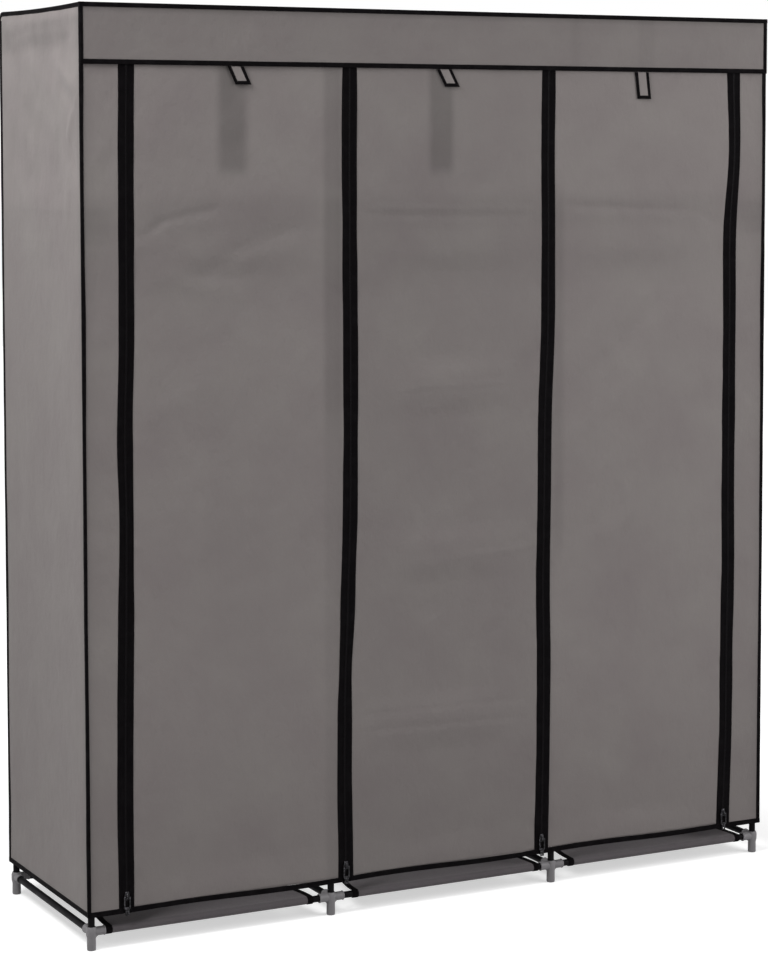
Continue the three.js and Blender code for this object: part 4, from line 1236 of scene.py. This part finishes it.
    def flanges(self, shop):
        """The strips beside the outer zips: ripples between flat edges, and a step down under
        the zip's tape. They carry the front's painted shade, with more painted shade towards the
        corner and a little over the whole right strip."""
        tall = even(shop.hem + 0.001, shop.door_top, shop.cloth.cell)
        edges = shop.edges(tall)
        for name, sign, left, right in (("left", -1, edges[0] + 0.0012, edges[1] - 0.004),
                                        ("right", 1, edges[4] + 0.004, edges[5] - 0.0012)):
            x, z, _ = between(left, right, tall, 19)
            beside = np.minimum(x - left[:, None], right[:, None] - x)
            zip_side = right[:, None] - x if sign < 0 else x - left[:, None]
            out = smooth_step(beside, 0.008, 0.03) * above_hem(shop, z) * shop.cloth.ripple * (
                0.5 * cloudy(x, z, 0.07, 101) + 0.35 * cloudy(x, z, 0.035, 102) - 0.5)
            out = out - 0.0004 * (1 - smooth_step(zip_side, 0.011, 0.015))
            y = shop.front - np.clip(out, -0.0014, 0.0010)
            # Painted shade: the front's, a shade band beside the corner binding, and a little over
            # the right strip
            corner = np.abs(HALF_WIDTH - np.abs(x))
            marks = front_painted_shade(x, z) + 0.25 * (1 - smooth_step(corner, 0.0, 0.03))
            marks += 0.12 * (sign > 0) + 0.3 * (1 - smooth_step(corner, 0.006, 0.012))
            self.panel(f"cover_flange_{name}_cloth", f"cover_flange_{name}", (x, y, z), (x, z),
                       np.clip(marks, 0, 1), (0.085, 1.586), "hung", [f"cover_side_{name}"])


class WARDROBE_OT_doors(bpy.types.Operator):
    """The three doors' cloth and their bound hems"""

    bl_idname = "wardrobe.doors"
    bl_label = "Doors"

    def execute(self, context):
        shop = workshop()
        half, rise = shop.trim.hem / 2, shop.trim.rise
        for bay, name in enumerate(BAYS):
            low, high = corners(f"door_hem_{name}")
            tall = even(low[2] + 0.0105, shop.door_top, shop.cloth.cell)
            edges = shop.edges(tall)
            x, z, share = between(edges[bay + 1] + 0.004, edges[bay + 2] - 0.004, tall, 88)
            out = door_relief(shop, bay, x, z, share)
            # The doors carry the front's painted shade
            made = draped(f"door_{name}_cloth", (x, shop.front - out, z), (x, z),
                          front_painted_shade(x, z), shop.cloth.thickness, stands_for=[f"door_{name}"])
            lift_with(made, name)
            x = np.linspace(low[0] + 0.0005, high[0] - 0.0005, 90)
            wave = 0.0016 * np.sin(2 * math.pi * np.linspace(0, 1, 90))
            path = joined(x, shop.front, shop.hem + 0.0003 + half + wave)
            hem = Binding()
            hem.sew(path, Z, -Y, folded(half, rise, 0.0012),
                    (path + Z * (half - HEM_STITCH) - Y * (rise + 0.0001), -Y))
            hem.pieces(f"door_{name}_hem", body=f"door_{name}_body",
                                            stands_for=[f"door_hem_{name}"])
        return {"FINISHED"}


HEM_X, HEM_Y = 0.7495, 0.2245  # where the hems' tapes end, from the middle


class WARDROBE_OT_bindings(bpy.types.Operator):
    """Black tape round the cover's corners, top edges and hems, with its stitches"""

    bl_idname = "wardrobe.bindings"
    bl_label = "Bindings"

    def execute(self, context):
        shop = workshop()
        self.corners(shop)
        self.tops(shop)
        self.hems(shop)
        return {"FINISHED"}

    def bind(self, name, path, across, out, profile, *lines):
        """One binding with its stitches."""
        binding = Binding()
        binding.sew(path, across, out, profile, *lines)
        binding.pieces(f"binding_{name}")

    def hook(self, shop, name, path, across, out, widths, uneven=np.ones((1, 1))):
        """Binds an edge where two panels meet. The tape lies on either by its own width, which
        may be uneven along the path, and is sewn down near both its sides."""
        first, second = across * uneven, out * uneven[::-1]
        self.bind(name, path, first, second,
                  hooked(*widths, shop.trim.rise + shop.cloth.thickness),
                  (path + first * (widths[0] - EDGE_STITCH) - out * 0.0001, -out),
                  (path + second * (widths[1] - EDGE_STITCH) - across * 0.0001, -across))

    def corners(self, shop):
        """Upright corners, whose tape is of uneven width and sways by a third of a millimetre."""
        trim = shop.trim
        for row, sign_y in (("front", -1), ("back", 1)):
            for name, sign_x in HANDS:
                x, y = sign_x * (shop.side + trim.rise), sign_y * (-shop.front + trim.rise)
                top = shop.roof + trim.rise - crown_drop(x, y) - 0.0004
                z = even(shop.hem + 0.0002, top, 0.012)
                sway = np.abs(0.0003 * cloudy(z, 0, 0.06, 120 + sign_x + 3 * sign_y))
                across = trim.corner * (1.4 if (row, name) == ("front", "right") else 1.0)
                out = trim.corner * (2.0 if row == "back" else 1.0)
                self.hook(shop, f"corner_{row}_{name}",
                          joined(x - sign_x * sway, y - sign_y * sway, z), -sign_x * X,
                          -sign_y * Y, (across, out), 1 + 0.2 * cloudy(z, 0, 0.11, 124)[:, None])

    def tops(self, shop):
        """Top edges: the two sides' tape follows the crown's dip and rounded back corners."""
        trim = shop.trim
        outer_x, front = shop.side + trim.rise, shop.valance - trim.rise
        back, roof = shop.back + trim.rise, shop.roof + trim.rise
        for name, sign in HANDS:
            y = np.concatenate([even(front, 0.2, 0.012), even(0.2015, back, 0.0015)])
            path = joined(sign * outer_x, y, roof - crown_drop(outer_x, y))
            run = np.gradient(path, axis=0)
            run /= np.linalg.norm(run, axis=1)[:, None]
            down = np.cross(run, X)
            down = down * np.sign(-down[:, 2:])
            self.hook(shop, f"top_{name}", path, -sign * X, down, (trim.top, trim.top))
        for name, y, inward in (("front", front, Y), ("back", back, -Y)):
            x = even(-outer_x + 0.0002, outer_x - 0.0002, 0.006)
            self.hook(shop, f"top_{name}", joined(x, y, roof - crown_drop(x, y)), inward, -Z,
                      (trim.top, trim.top))

    def hems(self, shop):
        """Hems of the fixed cloth, and the valance's hem and two upright ends."""
        trim, front, back, side = shop.trim, shop.front, shop.back, shop.side
        half = trim.hem / 2
        z = shop.hem + half + 0.0002
        edges = shop.edges(np.array([z]))[:, 0]
        runs = [(*run, half, 0.0013) for run in (
            ("back", (HEM_X, back, z), (-HEM_X, back, z), Y),
            ("left", (-side, HEM_Y, z), (-side, -HEM_Y, z), -X),
            ("right", (side, -HEM_Y, z), (side, HEM_Y, z), X),
            ("flange_left", (-HEM_X, front, z), (edges[1] - 0.0062, front, z), -Y),
            ("flange_right", (edges[4] + 0.0062, front, z), (HEM_X, front, z), -Y))]
        half, y = trim.valance / 2, shop.valance
        z = shop.valance_hem + half + 0.0002
        runs.append(("valance", (-0.7493, y, z), (0.7493, y, z), -Y, half, 0.0012))
        for name, sign, width in (("valance_left", -1, 1.0), ("valance_right", 1, 1.4)):
            edge = trim.corner * width / 2
            x = sign * (0.7496 - edge)
            runs.append((name, (x, y, z + half), (x, y, shop.roof), -Y, edge, 0.0012))
        for name, start, end, out, half, behind in runs:
            t = np.linspace(0, 1, max(6, int(math.dist(start, end) / 0.012)))[:, None]
            path = np.array(start) * (1 - t) + np.array(end) * t
            across = Z if start[2] == end[2] else -np.sign(start[0]) * X
            seam = path + across * (half - HEM_STITCH) + out * (trim.rise + 0.0001)
            self.bind(f"hem_{name}", path, across, out, folded(half, trim.rise, behind),
                      (seam, out))


# Zips


# A turn of the coil: a flat bar of three square sections, as lengths, widths and heights from
# -1 to 1, slimmer at its rounded end
COIL_SHAPE = np.array([(x, y, z * (1.0 if abs(x) < 0.7 else 0.7))
                       for x in (-1.0, 0.55, 1.0) for y, z in ((-1, -1), (-1, 1), (1, 1), (1, -1))],
                      float) * (1, 0.5, 0.5)
COIL_SHAPE[8:, 1:] *= 0.6
COIL_FACES = (
    tuple((4 * k + a, 4 * k + b, 4 * k + 4 + b, 4 * k + 4 + a) for k in (0, 1)
          for a, b in ((0, 1), (1, 2), (2, 3), (3, 0))) + ((3, 2, 1, 0), (8, 9, 10, 11)),
)
# Where a zip's tape is folded narrower: a bell round each height
TAPE_FOLDS = (lambda z: bell(z - 0.78, 0.08), lambda z: bell(z - 0.48, 0.06), lambda z: 0 * z,
              lambda z: bell(z - 1.47, 0.1))
# Columns of a tape's mesh: distances from the zip's line, before the tape's edge
TAPE_COLUMNS = np.array([0.0001, 0.0028, 0.0052, 0.0078, 0.0104, 0.013])


class WARDROBE_OT_zips(bpy.types.Operator):
    """Zip tapes and coils, half on a fixed strip or door and half on the next, and the sliders"""

    bl_idname = "wardrobe.zips"
    bl_label = "Zips"

    def execute(self, context):
        shop = workshop()
        for number in range(4):
            for side in (-1, 1):
                self.half(shop, number, side)
            for part in ("slider", "pull"):
                self.cast(f"zip_{part}_{number + 1}", f"{part}_{number + 1}")
        return {"FINISHED"}

    def half(self, shop, number, side):
        """One half of a zip: the tape's face follows the cloth it is sewn on, half a millimetre
        in front of it, and comes down to the zip's own plane beside the coil."""
        bay = number if side > 0 else number - 1
        hand = "left" if side < 0 else "right"
        owner = BAYS[bay] if 0 <= bay < 3 else None
        if owner:
            foot = corners(f"door_hem_{owner}")[0][2] + 0.0006
            low = foot + 0.0102
            z = np.concatenate([[foot, low - 0.0001], even(low, shop.door_top, 0.0045)])
        else:
            low = shop.hem + 0.0006
            z = even(low, shop.door_top, 0.0045)
        width = shop.zips.tape + 0.0007 * cloudy(z, 0, 0.08, 130 + number) \
            - 0.002 * TAPE_FOLDS[number](z)
        offset = np.hstack([np.repeat(TAPE_COLUMNS[None], len(z), 0), width[:, None]])
        offset = offset * np.where(z < low, 0.33, 1.0)[:, None]
        x, up = shop.seam_x(number, z)[:, None] + side * offset, z[:, None]
        out = np.full_like(x, -0.0004)
        if owner:
            edges = shop.edges(z)
            left, right = edges[bay + 1][:, None], edges[bay + 2][:, None]
            out = door_relief(shop, bay, x, up, (x - left) / (right - left))
        rest = 0.0002
        out = rest + (np.maximum(out + 0.0006, rest) - rest) * smooth_step(offset, 0.0052, 0.013)
        points = joined(x, shop.front - out, up)[:, ::side]
        tape, coil, sewing = Skin(), Skin(), Skin()
        tape.add(points, joined(up, x)[:, ::side])
        self.teeth(shop, coil, number, side, low)
        stitched(sewing, points[:, 1 if side < 0 else -2] - Y * 0.0001, -Y)
        name = f"zip_{number + 1}_{hand}"
        made = thicken(piece(f"{name}_tape", tape, "binding", finish="zip_tape"), 0.0005)
        turns = piece(f"{name}_coil", coil, "binding", finish="coil", smooth_angle=60)
        sewn = piece(f"{name}_stitches", sewing, "binding", finish="thread")
        for each in (made, turns, sewn) if owner else ():
            lift_with(each, owner)

    def teeth(self, shop, skin, number, side, low):
        """The coil's turns, evenly up the zip: those of the two halves alternate, and each
        reaches a little past the line to lie between its neighbours."""
        zips = shop.zips
        at = np.arange(low + 0.001 + (0.5 + 0.5 * side) * zips.turn / 2, shop.door_top - 0.001,
                       zips.turn)
        across = shop.seam_x(number, at) + side * (zips.coil / 2 - 0.0004)
        centre = joined(across, shop.front - 0.0002, at)
        turn = np.diag([-side * zips.coil / 2, -side * zips.coil_rise * 0.9, zips.turn * 0.42])
        skin.copies(COIL_SHAPE, COIL_FACES, centre, np.repeat(turn[None], len(at), 0))

    def cast(self, node, body):
        """A casting: a copy of the solid's own mesh, joined up, its flat faces merged and all its
        edges rounded."""
        mesh = frame["nodes"][node].data.copy()
        work = bmesh.new()
        work.from_mesh(mesh)
        bmesh.ops.remove_doubles(work, verts=work.verts, dist=1e-6)
        bmesh.ops.dissolve_limit(work, angle_limit=0.01, verts=work.verts, edges=work.edges)
        sharp = [e for e in work.edges if e.calc_face_angle(0) > 0.3]
        bmesh.ops.bevel(work, geom=sharp, offset=0.00022, segments=2, affect="EDGES",
                        clamp_overlap=True)
        work.to_mesh(mesh)
        work.free()
        mesh.materials.clear()
        dressed(f"{node}_casting", mesh, "zip_metal", body, [node], smooth_angle=50)


# Tie loops and straps


LOOP_WIDTH = 0.032
STRAP_CLEAR = 0.0068  # how far behind its sewn top a strap hangs, clear of the door's cloth


class WARDROBE_OT_ties(bpy.types.Operator):
    """The bound tie loops under the valance and the plain straps inside the doors"""

    bl_idname = "wardrobe.ties"
    bl_label = "Ties"

    def execute(self, context):
        shop = workshop()
        for name in BAYS:
            self.loop(shop, name)
            self.strap(name)
        return {"FINISHED"}

    def loop(self, shop, name):
        """A flat loop that leans to the right on its way down; its free end curls forwards. Its
        binding runs down one side, along the end and up the other."""
        low, high = corners(f"tie_loop_{name}")
        t = np.linspace(0, 1, 26)
        left = low[0] + (high[0] - low[0] - LOOP_WIDTH) * t
        x, down, share = between(left, left + LOOP_WIDTH, t, 16)
        z = high[2] - 0.0002 - down * (high[2] - low[2] - 0.0004)
        y = high[1] - 0.0009 - 0.0006 * down**2 - 0.0003 * np.sin(math.pi * share) * down
        x, y, z = x[::-1], y[::-1], z[::-1]
        ways = {"body": f"loop_{name}"}
        made = draped(f"tie_loop_{name}_cloth", (x, y, z), (x, z), **ways,
                      stands_for=[f"tie_loop_{name}"])
        points = joined(x, y, z)
        half, inward = shop.trim.loop / 2, np.repeat([X, Z, -X], (25, 16, 25), 0)
        inward[24:27] = (X + Z) / math.sqrt(2)
        inward[39:42] = (Z - X) / math.sqrt(2)
        path = np.concatenate([points[:0:-1, 0], points[0], points[1:, -1]]) + inward * half
        edging = Binding()
        edging.sew(path, inward, -Y, folded(half, 0.0006, 0.0012),
                   (path + inward * (half * 0.35) - Y * 0.0008, -Y))
        edging.pieces(f"tie_loop_{name}_binding",
                                           f"tie_loop_{name}_stitches", **ways)

    def strap(self, name):
        """A plain strap that hangs straight and clear of the door's cloth, its end turned up
        and sewn down."""
        low, high = corners(f"tie_strap_{name}")
        up = even(low[2] + 0.0005, high[2] - 0.0005, 0.006)
        x, z, _ = between(low[0] + 0.0003, high[0] - 0.0003, up, 12)
        y = low[1] + 0.0011 + STRAP_CLEAR * smooth_step(high[2] - z, 0.002, 0.022)
        y = y + 0.0003 * cloudy(x, z, 0.03, 140)
        ways = {"body": f"strap_{name}"}
        made = draped(f"tie_strap_{name}_cloth", (x, y, z), (x, z), **ways,
                      stands_for=[f"tie_strap_{name}"])
        path = joined(x[0], low[1] + STRAP_CLEAR + 0.0013, low[2] + 0.0042)
        end = Binding()
        end.sew(path, Z, -Y, folded(0.004, 0.0007, 0.0009), (path + Z * 0.0028 - Y * 0.0008, -Y))
        end.pieces(f"tie_strap_{name}_hem", f"tie_strap_{name}_stitches",
                                        "cover_cloth", **ways)


# Studio


class WARDROBE_OT_studio(bpy.types.Operator):
    """Camera, lamps, floor and the room's even light"""

    bl_idname = "wardrobe.studio"
    bl_label = "Studio"

    def execute(self, context):
        scene = context.scene
        studio = scene.wardrobe_studio
        scene.view_settings.view_transform = "Standard"
        self.camera(scene, studio)
        self.lamp("key_lamp", (-2.4, -0.8, 3.3), (-0.75, 0.0, 1.2), studio.key, 1.4)
        self.lamp("fill_lamp", (2.5, -2.2, 2.4), (0.1, 0.0, 1.1), studio.fill, 2.4)
        self.floor(studio)
        self.room(scene, studio)
        return {"FINISHED"}

    def camera(self, scene, studio):
        """A sensor 36 mm wide spans the picture's longer side."""
        data = bpy.data.cameras.new("camera")
        longer = max(IMAGE_SIZE)
        data.sensor_width = 36.0
        data.lens = studio.focal_pixels * 36.0 / longer
        data.shift_x = -studio.shift_pixels[0] / longer
        data.shift_y = studio.shift_pixels[1] / longer
        data.clip_end = 60.0
        made = linked("camera", data)
        made.location = studio.camera_place
        made.rotation_euler = (math.pi / 2 - studio.pitch, 0.0, -studio.yaw)
        scene.camera = made

    def lamp(self, name, place, target, power, size):
        """A square lamp that faces a target and isn't seen itself."""
        data = bpy.data.lights.new(name, "AREA")
        data.energy, data.size = power, size
        made = linked(name, data)
        made.visible_camera = False
        made.location = place
        away = np.array(place) - np.array(target)
        made.rotation_euler = (math.atan2(math.hypot(away[0], away[1]), away[2]), 0.0,
                               math.atan2(away[0], -away[1]))

    def seen(self, recipe):
        """One for the rays that show the background itself: camera, glossy and transmission."""
        rays = recipe.node("ShaderNodeLightPath").socket.node
        camera, glossy, through = (Wire(recipe, rays.outputs[name]) for name in
                                   ("Is Camera Ray", "Is Glossy Ray", "Is Transmission Ray"))
        return camera.most(glossy).most(through)

    def floor(self, studio):
        """A pale matt floor with a glow for the camera, which grows with the distance from the
        wardrobe, so that the lit paper looks white all the way and keeps the shadow."""
        recipe = Recipe("studio_floor")
        place = recipe.object_place()
        cloud = recipe.noise(place, 0.7, 2.0)
        recipe.set(Base_Color=recipe.blend(cloud, tint(studio.floor_colour, 0.995),
                                           studio.floor_colour))
        recipe.set(Roughness=0.9, Specular_IOR_Level=0.1, Emission_Strength=1.0)
        away = recipe.node("ShaderNodeVectorMath", {"operation": "LENGTH"}, {0: place}, "Value")
        glow = recipe.ramp(away * 0.1, (0.085, 0.58), (0.15, 1.0))
        recipe.set(Emission_Color=recipe.blend(self.seen(recipe), (0.0, 0.0, 0.0), glow))
        skin = Skin()
        x, y, _ = between(-14.0, 14.0, np.linspace(-14.0, 14.0, 9), 9)
        skin.add(joined(x, y, -0.0002))
        mesh = bpy.data.meshes.new("floor")
        mesh.from_pydata(skin.points[0], [], skin.faces[0].tolist())
        mesh.materials.append(recipe.material)
        linked("floor", mesh)

    def room(self, scene, studio):
        """White to the camera and in reflections, an even pale light on everything else."""
        scene.world = bpy.data.worlds.new("room")
        recipe = Recipe("room", scene.world)
        light = self.seen(recipe) * (1 - studio.sky) + studio.sky
        recipe.set(Color=(1.0, 1.0, 1.0), Strength=light)


class WARDROBE_PT_panel(bpy.types.Panel):
    """Lists the wardrobe's operators and its settings"""

    bl_label = "Fabric wardrobe"
    bl_idname = "WARDROBE_PT_panel"
    bl_space_type = "VIEW_3D"
    bl_region_type = "UI"
    bl_category = "Wardrobe"

    def draw(self, context):
        for step in STEPS:
            self.layout.operator(f"wardrobe.{step}")
        for group in SETTINGS:
            values = getattr(context.scene, group)
            box = self.layout.box()
            for field in values.bl_rna.properties:
                if field.identifier not in ("rna_type", "name"):
                    box.prop(values, field.identifier)


STEPS = ("studio", "posts", "feet", "rails", "shelves", "cover", "doors", "bindings", "zips",
         "ties")
SETTINGS = {
    "wardrobe_cloth": ClothSettings,
    "wardrobe_trim": TrimSettings,
    "wardrobe_zips": ZipSettings,
    "wardrobe_tubes": TubeSettings,
    "wardrobe_studio": StudioSettings,
}
CLASSES = (
    *SETTINGS.values(), WARDROBE_OT_studio, WARDROBE_OT_posts, WARDROBE_OT_feet, WARDROBE_OT_rails,
    WARDROBE_OT_shelves, WARDROBE_OT_cover, WARDROBE_OT_doors, WARDROBE_OT_bindings,
    WARDROBE_OT_zips, WARDROBE_OT_ties, WARDROBE_PT_panel,
)


def register():
    workshop.cache_clear()
    for made in CLASSES:
        bpy.utils.register_class(made)
    for name, group in SETTINGS.items():
        setattr(bpy.types.Scene, name, PointerProperty(type=group))


def unregister():
    for name in SETTINGS:
        delattr(bpy.types.Scene, name)
    for made in reversed(CLASSES):
        bpy.utils.unregister_class(made)


def main():
    register()
    for step in STEPS:
        getattr(bpy.ops.wardrobe, step)()


if __name__ == "__main__":
    main()
